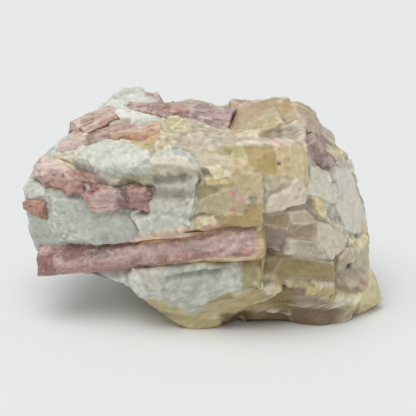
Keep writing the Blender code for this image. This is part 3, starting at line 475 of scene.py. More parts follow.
        (32.1, -11.5), (34.4, -14.5), (37, -18.2), (36, -20.5), (29.9, -21.5), (30.9, -17.2), (31.9, -15.5)]),
    # Painted shade: the dark inside of the notch.
    "notch": ((70, 58, 40), 0.9, -0.5, 0, 0.15, [
        (14.7, -15.5), (15.6, -15.5), (15.6, -16.3), (14.7, -16.1)]),
}

# The same for the rubellite crystals.
CRYSTAL_PATCHES = {
    "rod's left end": ((160, 112, 108), 0.9, 0, 0, 0.4, [
        (-36, -7), (-30.6, -7.6), (-30.3, -12.5), (-31, -16), (-36, -16)]),
    # The set-back upper facet's deeper red, darkened with painted shade.
    "rod's set-back band in painted shade": ((160, 120, 112), 0.9, 0, 0, 0.35, [
        (-30.6, -6), (-22, -5), (-13.4, -4), (-13.4, -7.4), (-22, -9.2), (-30.3, -10.9)]),
    "rod's orange facet": ((250, 218, 188), 0.95, 0, 0, 0.3, [
        (-13.4, -4), (-3.8, -2), (2.2, -1.5), (1.9, -5), (-8.7, -6.7), (-13.4, -7.2)]),
    "rod's pale band": ((200, 170, 164), 0.85, 0, 0, 0.4, [
        (-22, -9.1), (-13.4, -7.4), (-8.7, -6.9), (2.4, -5), (9.6, -3.6), (9.6, -8), (-3, -9), (-13.4, -10.2),
        (-22, -11)]),
    "rod's upper right": ((220, 186, 170), 0.85, 0, 0, 0.4, [
        (1.8, -1), (9.8, -1), (9.8, -4.6), (1.9, -5.1)]),
    "rod's rose line": ((184, 142, 134), 0.85, 0, 0, 0.3, [
        (-30.3, -12.3), (-13.4, -10.2), (2.4, -8.5), (9.6, -7.9), (9.6, -9.5), (-3, -10.4), (-13.4, -11.8),
        (-26, -15)]),
    "rod's yellow foot": ((244, 222, 178), 0.9, 0, 0, 0.4, [
        (-12.4, -11.7), (-3, -10.4), (9.8, -9.3), (9.8, -13), (-12, -14)]),
    "rod's brown end": ((208, 180, 130), 0.9, 0, 0, 0.25, [
        (9.8, 0), (13, 0), (13, -13), (9.6, -13)]),
    "cluster's pale band": ((240, 218, 204), 0.85, 0, 0, 0.4, [
        (-36, 6), (-34, 11), (-25.3, 10.5), (-25.8, 7.7), (-34, 6.4)]),
    "cluster's ochre line": ((246, 224, 178), 0.9, 0, 0, 0.25, [
        (-31.5, 9.9), (-22.5, 9.4), (-22, 7.2), (-23.3, 7.9), (-26, 8.6), (-31.3, 9)]),
    "cluster's red lumps": ((200, 152, 138), 0.9, 0, 0, 0.4, [
        (-31.6, 6.3), (-26, 7.7), (-22.7, 7.6), (-20.6, 6.7), (-20.6, 3.8), (-23.7, 2.4), (-28.6, 3),
        (-31.6, 3)]),
    # The rubellite's red, darkened with painted shade in the hollow.
    "cluster's hollow in painted shade": ((142, 100, 92), 0.9, 0, 0, 0.4, [
        (-25, 5.8), (-21.5, 5.8), (-21.8, 3.6), (-23.6, 2.5), (-25, 3.6)]),
    "cluster's pale block": ((220, 188, 178), 0.9, 0, 0, 0.3, [
        (-23.4, 2.6), (-20, 3.8), (-18.5, 2.4), (-18.5, -2), (-23.4, -2)]),
    "cluster's white spots": ((216, 196, 186), 0.9, 0, 0, 0.4, [
        (-20.2, 4.6), (-18.5, 4.6), (-18.4, 1.7), (-19.7, 2.4)]),
    "cluster's dark stripes": ((128, 96, 92), 0.9, 0, 0, 0.3, [
        (-18.2, 6), (-15.6, 6), (-15.7, -2.6), (-17.6, -2.6), (-18, 1.7)]),
    "cluster's right": ((178, 138, 128), 0.85, 0, 0, 0.4, [
        (-15.6, 6), (-9, 5), (-9, -3), (-15.6, -3)]),
    "upper rod's pink": ((238, 212, 204), 0.85, 0, 0, 0.4, [
        (-31, 9), (-31, 14.5), (-25, 15.6), (-23.8, 12.9), (-25.3, 12)]),
    "upper rod's dark": ((172, 142, 130), 0.9, 0, 0, 0.4, [
        (-24.6, 15.8), (-19.7, 16), (-18.6, 13.7), (-23.9, 12)]),
    "upper rod's mauve": ((186, 150, 142), 0.85, 0, 0, 0.4, [
        (-19.7, 15.3), (-14.1, 18.5), (-9.4, 18.6), (-12.1, 16.2), (-17.4, 15)]),
    "upper rod's orange": ((218, 184, 150), 0.9, 0, 0, 0.4, [
        (-19.4, 14.6), (-15.4, 15.9), (-11, 16.6), (-8, 18), (-8, 12), (-18.6, 12)]),
    "edge rod's orange": ((224, 198, 178), 0.85, 0, 0, 0.5, [
        (-28.5, 13), (-28, 18), (-18, 21.5), (-17.6, 19), (-21, 17.6), (-24.5, 14.4)]),
    "stub": ((196, 144, 116), 0.9, 0, 0, 0.4, [
        (-38, 2.5), (-31.5, 2.5), (-31.5, -2.5), (-38, -2.5)]),
    "ridge's brown pink": ((188, 154, 146), 0.9, 0, 0, 0.5, [
        (-17, 19.4), (-17, 23.5), (-3.4, 23), (-2.1, 20.1), (-8.7, 18.7)]),
    "ridge's mauve": ((188, 162, 158), 0.9, 0, 0, 0.5, [
        (-3.4, 23), (6, 22), (6, 14), (-2.1, 17.6), (-6.8, 18.8), (-3.4, 20.2)]),
    "ridge's pink spot": ((206, 152, 146), 0.85, 0, 0, 0.3, [
        (-7.4, 19.9), (-4.4, 20.2), (-4.6, 19), (-7, 19)]),
    "flank's purple": ((180, 154, 150), 0.9, 0, 0, 0.4, [
        (16, 18), (26, 16), (26, 6), (18, 6)]),
}
RUBELLITE_COLOUR = (190, 152, 144)
CRYSTAL_GLASSINESS = 0.45
# The pale colour of the painted highlights, on the rock's crests and along calm patches' outlines.
CREST_HIGHLIGHT_COLOUR = (238, 232, 216)
DUST_COLOUR = (232, 214, 202)
# Cloudy stains where no patch is: the noise's low and high mark, its seed, how strong it is, and the
# tone on each mineral.
CLOUDS = [
    (0.0, 0.3, 71, 0.7, (228, 230, 220), (226, 218, 202)),
    (0.1, 0.35, 73, 0.7, (192, 196, 186), (182, 166, 142)),
    (0.18, 0.4, 75, 0.6, (224, 212, 176), (214, 194, 144)),
    (0.3, 0.42, 77, 0.75, (204, 166, 158), (200, 168, 156)),
]
# The albite's own axes, along which it cleaves into plates.
CLEAVAGE = np.array([[0.35, 0.5, 0.2], [-0.25, 1.0, 0.5], [0.1, -0.6, 1.4]])
PATCH_HEM = 0.35
PATCH_TILT = 0.10


# Shape tools

def lattice_heights(seed):
    """Seeded random heights from -1 to 1 on a repeating cubic lattice."""
    return np.random.default_rng(seed).uniform(-1, 1, (LATTICE,) * 3)


def faceted_relief(points, facet, seed):
    """Heights from -1 to 1 in flat facets with sharp creases between them.

    Random heights on a cubic lattice are joined by flat tetrahedra: each lattice cube is walked from
    its low corner to its high one along the axes, the longest step first.
    """
    heights = lattice_heights(seed)
    turned = points @ RELIEF_TURN
    cells = np.floor(turned / facet).astype(int)
    steps = turned / facet - cells
    order = np.argsort(-steps, axis=1)
    rows = np.arange(len(points))
    corner = cells.copy()
    result = np.zeros(len(points))
    before = np.ones(len(points))
    for turn in range(3):
        step = steps[rows, order[:, turn]]
        result += (before - step) * heights[tuple((corner % LATTICE).T)]
        corner[rows, order[:, turn]] += 1
        before = step
    return result + before * heights[tuple((corner % LATTICE).T)]


def smooth_noise(points, size, seed):
    """Soft noise from -1 to 1: lattice heights joined by eased straight lines along each axis."""
    heights = lattice_heights(seed)
    cells = np.floor(points / size).astype(int)
    share = points / size - cells
    share = share * share * (3 - 2 * share)
    result = np.zeros(len(points))
    for corner in np.ndindex(2, 2, 2):
        weight = np.prod(np.where(np.array(corner) == 1, share, 1 - share), axis=1)
        result += weight * heights[tuple(((cells + corner) % LATTICE).T)]
    return result


def grains(points, size, seed, tilt=0.0):
    """Height of the broken facet at each point, and how near the point is to that facet's edge.

    Each lattice cell holds one centre with a random height and a random slope. A point lies on the
    tilted plane of the nearest centre, and is near an edge where the next centre is about as close.
    """
    rng = np.random.default_rng(seed)
    jitter = rng.uniform(0.1, 0.9, (LATTICE, LATTICE, LATTICE, 3))
    heights = rng.uniform(-1, 1, (LATTICE,) * 3)
    slopes = rng.uniform(-tilt, tilt, (LATTICE, LATTICE, LATTICE, 3))
    cells = np.floor(points / size).astype(int)
    share = points / size - cells
    nearest = np.full(len(points), np.inf)
    second = np.full(len(points), np.inf)
    height = np.zeros(len(points))
    for offset in np.ndindex(3, 3, 3):
        shift = np.array(offset) - 1
        index = tuple(((cells + shift) % LATTICE).T)
        towards = share - shift - jitter[index]
        distance = np.linalg.norm(towards, axis=1)
        closer = distance < nearest
        second = np.where(closer, nearest, np.minimum(second, distance))
        height = np.where(closer, heights[index] + (slopes[index] * towards).sum(1), height)
        nearest = np.where(closer, distance, nearest)
    return height, np.clip(1 - (second - nearest) * 3, 0, 1)


def terraced(field, steps):
    """Turns a smooth field from -1 to 1 into flat treads with short steep risers between them."""
    level = (field + 1) * steps / 2
    tread = np.floor(level)
    return (tread + np.clip((level - tread - 0.75) * 4, 0, 1)) * 2 / steps - 1


def planes_of(corners):
    """Outward normals of a convex block's faces, and each face's distance from the heart."""
    bm = bmesh.new()
    for corner in corners:
        bm.verts.new(corner)
    bmesh.ops.convex_hull(bm, input=bm.verts)
    bmesh.ops.recalc_face_normals(bm, faces=bm.faces)
    bm.normal_update()
    normals = np.array([face.normal for face in bm.faces], float)
    on_face = np.array([face.verts[0].co for face in bm.faces], float)
    bm.free()
    return normals, ((on_face - HEART) * normals).sum(1)


def rock_reach(directions):
    """How far each direction runs before it leaves the rock, and the number of the block it leaves.

    A plane is crossed at its distance over the slope towards it. A ray enters a convex block at the
    last plane that faces it and leaves at the first that faces away. The rock is the furthest exit
    from any block, cut back to the entry of any hollow that the exit lies in.
    """
    reach = np.zeros(len(directions))
    owner = np.zeros(len(directions), int)
    solids = [(corners, True) for _, _, corners in BLOCKS.values()]
    solids += [(corners, False) for corners in HOLLOWS.values()]
    for number, (corners, adding) in enumerate(solids):
        normals, distances = planes_of(corners)
        slope = directions @ normals.T
        crossing = distances / np.where(np.abs(slope) < TINY, TINY, slope)
        leaves = np.where(slope > 0, crossing, np.inf).min(1)
        enters = np.where(slope < 0, crossing, -np.inf).max(1)
        if adding:
            changed = (leaves > enters) & (leaves > reach)
            owner[changed] = number
        else:
            changed = (enters < reach) & (reach < leaves)
        reach = np.where(changed, leaves if adding else enters, reach)
    return reach, owner


def blur(field, passes):
    """Averages each grid value with its neighbours along both grid directions, several times."""
    for _ in range(passes):
        field = (np.roll(field, 1, 1) + 2 * field + np.roll(field, -1, 1)) / 4
        inner = (field[:-2] + 2 * field[1:-1] + field[2:]) / 4
        field = np.concatenate([field[:1], inner, field[-1:]])
    return field


def grid_normals(points):
    """Outward unit normals of a grid whose rows run along the rock and whose columns go round it."""
    along = np.gradient(points, axis=0)
    around = np.roll(points, -1, 1) - np.roll(points, 1, 1)
    normal = np.cross(along, around)
    normal /= np.maximum(np.linalg.norm(normal, axis=-1, keepdims=True), TINY)
    outward = ((points - points.mean((0, 1))) * normal).sum(-1, keepdims=True)
    return normal * np.sign(outward.mean())


def rock_directions():
    """Directions from the heart on one grid over the whole rock, from the albite end to the quartz end.

    An angle round the X axis and an angle away from the end give each direction. The second grows
    evenly along an ellipse as long as the rock. The two ends share the row on the border.
    """
    around = np.linspace(-180, 180, COLUMNS, endpoint=False)
    border = np.radians(np.interp(around, *np.array(BORDER).T, period=360))
    halves = []
    for end, rows in ((-1, ALBITE_ROWS), (1, QUARTZ_ROWS)):
        away = border if end < 0 else np.pi - border
        last = np.arctan2(np.sin(away) / GIRTH_RADIUS, np.cos(away) / LENGTH_RADIUS)
        turn = last[None, :] * np.linspace(0, 1, rows)[:, None]
        away = np.arctan2(GIRTH_RADIUS * np.sin(turn), LENGTH_RADIUS * np.cos(turn))
        turned = np.radians(around)[None, :]
        parts = (end * np.cos(away), -np.sin(away) * np.cos(turned), np.sin(away) * np.sin(turned))
        halves.append(np.stack(parts, -1))
    return np.concatenate([halves[0], halves[1][-2::-1]])


def in_view(points):
    """Millimetres right of and above the middle of the photo's view, and the direction to its viewer."""
    forward = np.array([0, np.cos(VIEW_ELEVATION), -np.sin(VIEW_ELEVATION)])
    upward = np.array([0, np.sin(VIEW_ELEVATION), np.cos(VIEW_ELEVATION)])
    from_eye = points - (VIEW_TARGET - VIEW_DISTANCE * forward)
    depth = from_eye @ forward / VIEW_DISTANCE
    return from_eye[:, 0] / depth, from_eye @ upward / depth, -forward


def inside_by(corners, right, up):
    """How far each place lies inside an outline of straight edges, or below zero outside it."""
    inside = np.zeros(len(right), bool)
    nearest = np.full(len(right), np.inf)
    for (x, y), (next_x, next_y) in zip(corners, corners[1:] + corners[:1]):
        run, rise = next_x - x, next_y - y
        share = np.clip(((right - x) * run + (up - y) * rise) / (run * run + rise * rise), 0, 1)
        nearest = np.minimum(nearest, np.hypot(right - x - share * run, up - y - share * rise))
        spans = (y > up) != (next_y > up)
        inside ^= spans & (right < x + (up - y) * run / (rise or TINY))
    return np.where(inside, nearest, -nearest)


def painted(points, facing, colour, patches, seed):
    """Lays the patches over a base colour: the colour, how far raised, how calmed and how covered.

    Each patch tilts its own way by a little, so that flat facets catch the light differently, and a calm
    patch gets a painted highlight, a pale line just inside its outline. It covers only what faces the photo's
    viewer.
    """
    right, up, to_eye = in_view(points)
    ragged = 0.6 * faceted_relief(points, 1.6, seed) + 0.4 * smooth_noise(points, 0.7, seed + 1)
    seen = np.clip((facing @ to_eye + 0.15) / 0.2, 0, 1)
    raised = np.zeros(len(points))
    calmed = np.zeros(len(points))
    covered = np.zeros(len(points))
    rng = np.random.default_rng(seed)
    for tint, strength, height, calm, edge, corners in patches.values():
        low, high = np.min(corners, 0) - 2, np.max(corners, 0) + 2
        tilt = rng.uniform(-PATCH_TILT, PATCH_TILT, 2)
        near = (right > low[0]) & (right < high[0]) & (up > low[1]) & (up < high[1]) & (seen > 0)
        depth = inside_by(corners, right[near], up[near])
        weight = np.clip((depth + edge * ragged[near]) / PATCH_HEM + 0.5, 0, 1) * seen[near]
        # Painted highlight: a pale line just inside a calm patch's outline.
        rim = np.clip(1 - np.abs(depth - 0.2) / 0.25, 0, 1) * weight * calm
        mix = (weight * strength)[:, None]
        colour[near] = colour[near] * (1 - mix) + np.array(tint, float) * mix
        colour[near] += (np.array(CREST_HIGHLIGHT_COLOUR, float) - colour[near]) * (0.45 * rim)[:, None]
        middle = (low + high) / 2
        slope = tilt[0] * (right[near] - middle[0]) + tilt[1] * (up[near] - middle[1])
        raised[near] = raised[near] * (1 - weight * calm) + weight * (height + calm * slope)
        calmed[near] = np.maximum(calmed[near] * (1 - weight), calm * weight)
        covered[near] = np.maximum(covered[near], weight)
    return colour, raised, calmed, covered


def linear(colour):
    """Turns 0 to 255 screen colours into linear light."""
    share = np.clip(colour / 255, 0, 1)
    return np.where(share <= 0.04045, share / 12.92, ((share + 0.055) / 1.055) ** 2.4)


def bedding(points, normals, lap, stations):
    """How far the rock's surface moves to hold a crystal: below zero it sinks, above zero it rises.

    Heights are measured from the crystal's axis along the surface's own normal. Within the crystal's
    width the surface meets the crystal at the given share of its radius, a little raggedly. Beside
    the crystal a lower surface rises towards that height and a higher one keeps its own.
    """
    stations = np.array(stations)
    moved = np.zeros(len(points))
    ragged = 0.3 * faceted_relief(points, 2.2, 61)
    for number, (first, second) in enumerate(zip(stations, stations[1:])):
        along = second[:3] - first[:3]
        length = np.linalg.norm(along)
        travel = (points - first[:3]) @ along / length
        share = np.clip(travel / length, 0, 1)
        radius = first[3] + share * (second[3] - first[3])
        away = points - first[:3] - share[:, None] * along
        height = (away * normals).sum(1)
        lateral = np.linalg.norm(away - height[:, None] * normals, axis=1)
        reached = np.clip((1.7 - height / radius) / LAP_SOFTNESS, 0, 1)
        reached *= np.clip((height / radius + 1.8) / 1.4, 0, 1)
        if number == 0:
            reached *= np.clip((travel - 0.2) / 0.4, 0, 1)
        if number == len(stations) - 2:
            reached *= np.clip((length - travel - 0.2) / 0.4, 0, 1)
        wanted = lap * radius + ragged - height
        within = np.clip((radius + ragged - lateral) / BANK + 0.5, 0, 1)
        beside = np.clip(1 - (np.maximum(lateral - radius, 0) / LAP_WIDTH) ** 2, 0, 1)
        sinks = within * reached * np.minimum(wanted, 0)
        rises = beside * reached * np.clip(wanted, 0, LAP_LIMIT)
        change = sinks + rises
        moved = np.where(np.abs(change) > np.abs(moved), change, moved)
    return moved


def closed_mesh(name, rings, start, end, colours, glassiness):
    """A closed mesh from rings of points between two end points, with a colour for every point.

    Neighbouring rings are joined by four-sided faces, and each end point by a fan of triangles.
    """
    count, columns = rings.shape[:2]
    points = np.concatenate([[start], rings.reshape(-1, 3), [end]])
    ring = np.arange(count * columns).reshape(count, columns) + 1
    after = np.roll(ring, -1, 1)
    quads = np.stack([ring[:-1], ring[1:], after[1:], after[:-1]], -1).reshape(-1, 4)
    first = np.stack([np.zeros(columns, int), ring[0], after[0]], -1)
    last = np.stack([ring[-1], np.full(columns, count * columns + 1), after[-1]], -1)
    corners = np.concatenate([quads.ravel(), first.ravel(), last.ravel()])
    sizes = np.concatenate([np.full(len(quads), 4), np.full(2 * columns, 3)])
    mesh = bpy.data.meshes.new(name)
    mesh.vertices.add(len(points))
    mesh.vertices.foreach_set("co", ((points - BASE_MIDDLE) * MM).ravel())
    mesh.loops.add(len(corners))
    mesh.loops.foreach_set("vertex_index", corners)
    mesh.polygons.add(len(sizes))
    mesh.polygons.foreach_set("loop_start", np.concatenate([[0], np.cumsum(sizes)[:-1]]))
    mesh.polygons.foreach_set("loop_total", sizes)
    mesh.update(calc_edges=True)
    mesh.validate()
    bm = bmesh.new()
    bm.from_mesh(mesh)
    bmesh.ops.recalc_face_normals(bm, faces=bm.faces)
    bm.to_mesh(mesh)
    bm.free()
    tint = mesh.attributes.new("tint", "FLOAT_COLOR", "POINT")
    shades = np.concatenate([linear(colours), glassiness[:, None]], 1)
    shades = np.concatenate([shades[:1], shades, shades[-1:]])
    tint.data.foreach_set("color", shades.astype(np.float32).ravel())
    obj = bpy.data.objects.new(name, mesh)
    bpy.context.scene.collection.objects.link(obj)
    return obj


# Materials

def noise_in(material, place, scale, detail, roughness):
    """A noise texture on the object's own coordinates."""
    node = material.node_tree.nodes.new("ShaderNodeTexNoise")
    node.inputs["Scale"].default_value = scale
    node.inputs["Detail"].default_value = detail
    node.inputs["Roughness"].default_value = roughness
    material.node_tree.links.new(place, node.inputs["Vector"])
    return node.outputs["Fac"]


def mapped_in(material, value, before, after):
    """A value taken from one range to another."""
    node = material.node_tree.nodes.new("ShaderNodeMapRange")
    for part, number in zip(("From Min", "From Max", "To Min", "To Max"), (*before, *after)):
        node.inputs[part].default_value = number
    material.node_tree.links.new(value, node.inputs["Value"])
    return node.outputs["Result"]


def mineral_material(name, painted_glint_strength, bump_height, subsurface):
    """A mineral: the mesh's own tint with finer mottling, painted glints as pale specks in the base colour,
    and a grainy surface.

    The tint's alpha is the glassiness, which lowers the roughness.
    """
    material = bpy.data.materials.new(name)
    material.use_nodes = True
    nodes, links = material.node_tree.nodes, material.node_tree.links
    shader = nodes["Principled BSDF"]
    place = nodes.new("ShaderNodeTexCoord").outputs["Object"]
    tint = nodes.new("ShaderNodeAttribute")
    tint.attribute_name = "tint"
    mottle = noise_in(material, place, MOTTLE_SCALE, 6, 0.65)
    shaded = nodes.new("ShaderNodeVectorMath")
    shaded.operation = "SCALE"
    links.new(tint.outputs["Color"], shaded.inputs[0])
    links.new(mapped_in(material, mottle, (0.3, 0.7), MOTTLE_SHADE), shaded.inputs["Scale"])
    # Painted glints: this noise lays pale specks into the base colour, and also drives the grainy bump.
    glints = noise_in(material, place, GLINT_SCALE, 3, 0.5)
    painted_glints = nodes.new("ShaderNodeMix")
    painted_glints.data_type = "RGBA"
    painted_glints.inputs["B"].default_value = (*PAINTED_GLINT_COLOUR, 1)
    links.new(mapped_in(material, glints, (0.58, 0.70), (0, painted_glint_strength)), painted_glints.inputs["Factor"])
    links.new(shaded.outputs["Vector"], painted_glints.inputs["A"])
    links.new(painted_glints.outputs["Result"], shader.inputs["Base Color"])
    links.new(mapped_in(material, tint.outputs["Alpha"], (0, 1), ROUGHNESS), shader.inputs["Roughness"])
    grain = nodes.new("ShaderNodeBump")
    grain.inputs["Strength"].default_value = 1
    grain.inputs["Distance"].default_value = bump_height * MM
    links.new(glints, grain.inputs["Height"])
    links.new(grain.outputs["Normal"], shader.inputs["Normal"])
    shader.inputs["IOR"].default_value = QUARTZ_IOR
    shader.inputs["Subsurface Weight"].default_value = subsurface
    shader.inputs["Subsurface Radius"].default_value = (1.0, 0.85, 0.7)
    shader.inputs["Subsurface Scale"].default_value = SCATTER_DEPTH * MM
    return material


def plain_material(name, colour, roughness):
    """A plain matte material for the floor."""
    material = bpy.data.materials.new(name)
    material.use_nodes = True
    shader = material.node_tree.nodes["Principled BSDF"]
    shader.inputs["Base Color"].default_value = (*colour, 1)
    shader.inputs["Roughness"].default_value = roughness
    shader.inputs["Specular IOR Level"].default_value = 0.2
    return material


# Pieces

def rock_surface(directions):
    """Place, outward direction and block number of each grid point, and how far back it lies.

    Each direction is looked up a little to its side, so that the blocks' edges run raggedly. Faceted
    relief is added to the blocks' reach. It fades at the base and is coarser at the back.
    """
    shape = directions.shape[:2]
    flat = directions.reshape(-1, 3)
    near = flat * WANDER_RADIUS
    wander = 0
    for facet, share, seeds in WANDERS:
        wander = wander + np.stack([faceted_relief(near, facet, seed) for seed in seeds], -1) * share
    bent = near + wander
    bent /= np.linalg.norm(bent, axis=1, keepdims=True)
    reach, owner = rock_reach(bent)
    points = flat * reach[:, None]
    rise = COARSE_RELIEF * faceted_relief(points, COARSE_FACET, 3)
    rise += FINE_RELIEF * faceted_relief(points, FINE_FACET, 8)
    behind = np.clip((points[:, 1] - BACK_STARTS) / (BACK_FULL - BACK_STARTS), 0, 1)
    rise += BACK_RELIEF * behind * faceted_relief(points, BACK_FACET, 5)
    reach += rise * np.clip((points[:, 2] + HEART[2]) / BASE_CALM, 0, 1)
    reach = blur(reach.reshape(shape), 2)
    points = directions * reach[..., None] + HEART
    normals = grid_normals(np.stack([blur(points[..., axis], 4) for axis in range(3)], -1))
    return points.reshape(-1, 3), normals.reshape(-1, 3), owner, behind


def rock_relief(place, albite_like, behind, raised, calmed, covered):
    """Height of the fine relief, and for the colours its grains, its chips and its facets' edges.

    Quartz breaks into tilted plates and steps, albite cleaves into thin plates, and the back has
    coarser breaks. A calm patch has only grains and chips.
    """
    plates = place * np.array([0.5, 1.0, 1.2])
    blocks, block_edge = grains(plates, BLOCK_SIZE, 16, 1.6)
    chips, chip_edge = grains(place, CHIP_SIZE, 17, 1.2)
    specks, speck_edge = grains(place, GRAIN_SIZE, 15, 0.8)
    steps = terraced(smooth_noise(plates, BLOCK_SIZE, 18), 4)
    quartz_relief = QUARTZ_BLOCKS * blocks + QUARTZ_CHIPS * chips + QUARTZ_STEPS * steps
    quartz_relief += QUARTZ_FACETS * faceted_relief(place, 3.0, 11)
    cleaved = terraced(smooth_noise(place @ CLEAVAGE, 2.6, 14), 5)
    albite_relief = ALBITE_FACETS * faceted_relief(place @ CLEAVAGE, 3.4, 13) + ALBITE_STEPS * cleaved
    albite_relief += ALBITE_BLOCKS * blocks + ALBITE_CHIPS * chips
    relief = albite_like * albite_relief + (1 - albite_like) * quartz_relief
    breaks, _ = grains(place, BREAK_SIZE, 19, 2.0)
    relief += BACK_BREAKS * breaks * behind * (1 - covered)
    sugar = GRAIN_HEIGHT * specks + CHIP_HEIGHT * chips
    relief = relief * (1 - 0.9 * calmed) + sugar * (1 - 0.8 * calmed)
    relief += albite_like * sugar
    relief += raised * (0.85 + 0.15 * specks)
    return relief, specks, chips, speck_edge * 0.4 + chip_edge * 0.3 + block_edge * 0.3


def clouded(colour, place, facing, albite_like, behind, covered, specks):
    """The colour with soft stains where no patch lies, mostly at the back: streaked, faceted noise."""
    unseen = np.clip(0.35 + behind + (facing @ np.array([0.0, 1.0, 0.0]) > 0), 0, 1)
    streaked = place * np.array([0.4, 1.0, 1.3])
    ragged = 0.12 * faceted_relief(place, 1.2, 33) + 0.08 * specks
    for low, high, seed, strength, on_albite, on_quartz in CLOUDS:
        field = 0.7 * faceted_relief(streaked, 4.5, seed) + 0.3 * smooth_noise(streaked, 2.0, seed + 1)
        cover = np.clip((field + ragged - low) / (high - low), 0, 1) * unseen * (1 - covered)
        tone = np.where(albite_like[:, None] > 0.5, np.array(on_albite, float), np.array(on_quartz, float))
        colour = colour + (tone - colour) * (strength * cover)[:, None]
    return colour


def make_rock():
    """The albite end and the quartz end: one fine broken surface, split along the border row.

    Each grid point moves along its own normal by the fine relief and by what the crystals need. The
    colour is the block's own, then the patches, the stains, the grains' tone, painted shade in the
    relief's hollows and painted highlights on its crests.
    """
    directions = rock_directions()
    shape = directions.shape[:2]
    place, facing, owner, behind = rock_surface(directions)
    tints = np.array([tint for tint, _, _ in BLOCKS.values()], float)
    glass = np.array([value for _, value, _ in BLOCKS.values()])
    albite_like = (glass[owner] < ALBITE_GLASSINESS_LIMIT).astype(float)
    albite_like = blur(albite_like.reshape(shape), 6).ravel()
    colour = np.stack([blur(tints[owner][:, axis].reshape(shape), 2).ravel() for axis in range(3)], -1)
    glassy = blur(glass[owner].reshape(shape), 3)
    colour, raised, calmed, covered = painted(place, facing, colour, ROCK_PATCHES, 21)

    relief, specks, chips, edge = rock_relief(place, albite_like, behind, raised, calmed, covered)
    crest = blur((relief - blur(relief.reshape(shape), 8).ravel()).reshape(shape), 1).ravel()
    bedded = np.zeros(len(place))
    for _, _, _, lap, stations in CRYSTALS.values():
        moved = bedding(place, facing, lap, stations)
        bedded = np.where(np.abs(moved) > np.abs(bedded), moved, bedded)
    relief = relief + blur(bedded.reshape(shape), 4).ravel()
    points = (place + facing * relief[:, None]).reshape(*shape, 3)
    points[..., 2] = np.maximum(points[..., 2], 0)

    colour = clouded(colour, place, facing, albite_like, behind, covered, specks)
    cloudy = smooth_noise(place, 5.0, 31) * 0.5 + faceted_relief(place, 2.4, 32) * 0.5
    shade = 1 + 0.05 * cloudy + (0.04 * specks + 0.04 * chips) * (1 - 0.7 * calmed)
    # Painted light from the relief: a little lighter on its crests, darker as painted shade in its hollows,
    # and darker along the grains' edges.
    shade += 0.5 * np.clip(crest, -0.2, 0.10) - 0.05 * edge * albite_like
    colour = colour * shade[:, None]
    # Painted highlights: the higher crests pale towards the highlight colour.
    pale = (np.clip(crest - CREST_HIGHLIGHT_FROM, 0, CREST_HIGHLIGHT_REACH) * CREST_HIGHLIGHT_STRENGTH)[:, None]
    colour = colour * (1 - pale) + np.array(CREST_HIGHLIGHT_COLOUR, float) * pale
    colour = colour.reshape(*shape, 3)

    border = ALBITE_ROWS - 1
    albite = closed_mesh(
        "albite_mass", points[1:border + 1], points[0, 0], HEART,
        colour[1:border + 1].reshape(-1, 3), glassy[1:border + 1].ravel(),
    )
    quartz = closed_mesh(
        "quartz_mass", points[border:-1], HEART, points[-1, 0],
        colour[border:-1].reshape(-1, 3), glassy[border:-1].ravel(),
    )
    return albite, quartz


def along_axis(stations):
    """Even places along a crystal's axis: travel, centre, radius, and the directions along and across."""
    lengths = np.concatenate([[0], np.cumsum(np.linalg.norm(np.diff(stations[:, :3], axis=0), axis=1))])
    travel = np.linspace(0, lengths[-1], max(CRYSTAL_LEAST_ROWS, int(lengths[-1] / CRYSTAL_ROW_STEP)))
    centre = np.stack([np.interp(travel, lengths, stations[:, axis]) for axis in range(3)], -1)
    radius = np.interp(travel, lengths, stations[:, 3])
    along = np.gradient(centre, axis=0)
    along /= np.linalg.norm(along, axis=1, keepdims=True)
    sideways = np.cross(along, (0, 0, 1))
    sideways /= np.linalg.norm(sideways, axis=1, keepdims=True)
    return travel, centre, radius, along, sideways, np.cross(sideways, along)


def crystal_widths(sides, travel, radius, angle, rng):
    """Distance from the axis, by place along it and angle round it: a grooved and cracked prism.

    The section at angle a is the polygon's radius times 1 + 0.06 cos(3a).
    """
    face = 2 * np.pi / sides
    flatness = np.cos(face / 2) / np.cos((angle % face) - face / 2)
    section = (0.1 + 0.9 * flatness) * (1 + 0.06 * np.cos(3 * angle))
    groove_angles = np.linspace(0, 2 * np.pi, GROOVES)
    grooves = np.interp(angle, groove_angles, rng.uniform(-1, 1, GROOVES), period=2 * np.pi)
    cracks = np.zeros(len(travel))
    for spot in rng.uniform(0, travel[-1], max(2, int(travel[-1] / CRACK_SPACING))):
        cracks += rng.uniform(0.3, 1) * np.exp(-((travel - spot) / CRACK_WIDTH) ** 2)
    carved = GROOVE_DEPTH * grooves[None, :] - CRACK_DEPTH * cracks[:, None]
    return radius[:, None] * section[None, :] + carved


def crystal_colours(points, flat, facing, turned, travel, plates, plate_edge, specks, seed):
    """Patches and lengthwise streaks on the rubellite's own colour, with pale dust on what faces up."""
    streaks = np.stack(np.broadcast_arrays(turned[None, :] * 9, 0.35 * travel[:, None], 0.0), -1)
    streak = smooth_noise(streaks.reshape(-1, 3), 1.0, seed + 55)
    colour = np.tile(np.array(RUBELLITE_COLOUR, float), (len(flat), 1))
    colour, _, _, _ = painted(points, facing, colour, CRYSTAL_PATCHES, seed + 56)
    spots = np.clip(faceted_relief(flat, 1.3, seed + 57) - 0.4, 0, 1)
    shade = 1 + 0.08 * streak + 0.05 * specks - 0.05 * plate_edge - 0.25 * spots + 0.05 * plates
    colour = colour * shade[:, None]
    dust = 0.5 * faceted_relief(flat, 1.9, seed + 59) + 0.5 * smooth_noise(flat, 0.6, seed + 60)
    dust = 1.5 * np.clip(dust, 0, 1) * np.clip(facing[:, 2] + 0.7, 0.3, 1)
    return colour + (np.array(DUST_COLOUR, float) - colour) * dust[:, None].clip(0, 0.7)


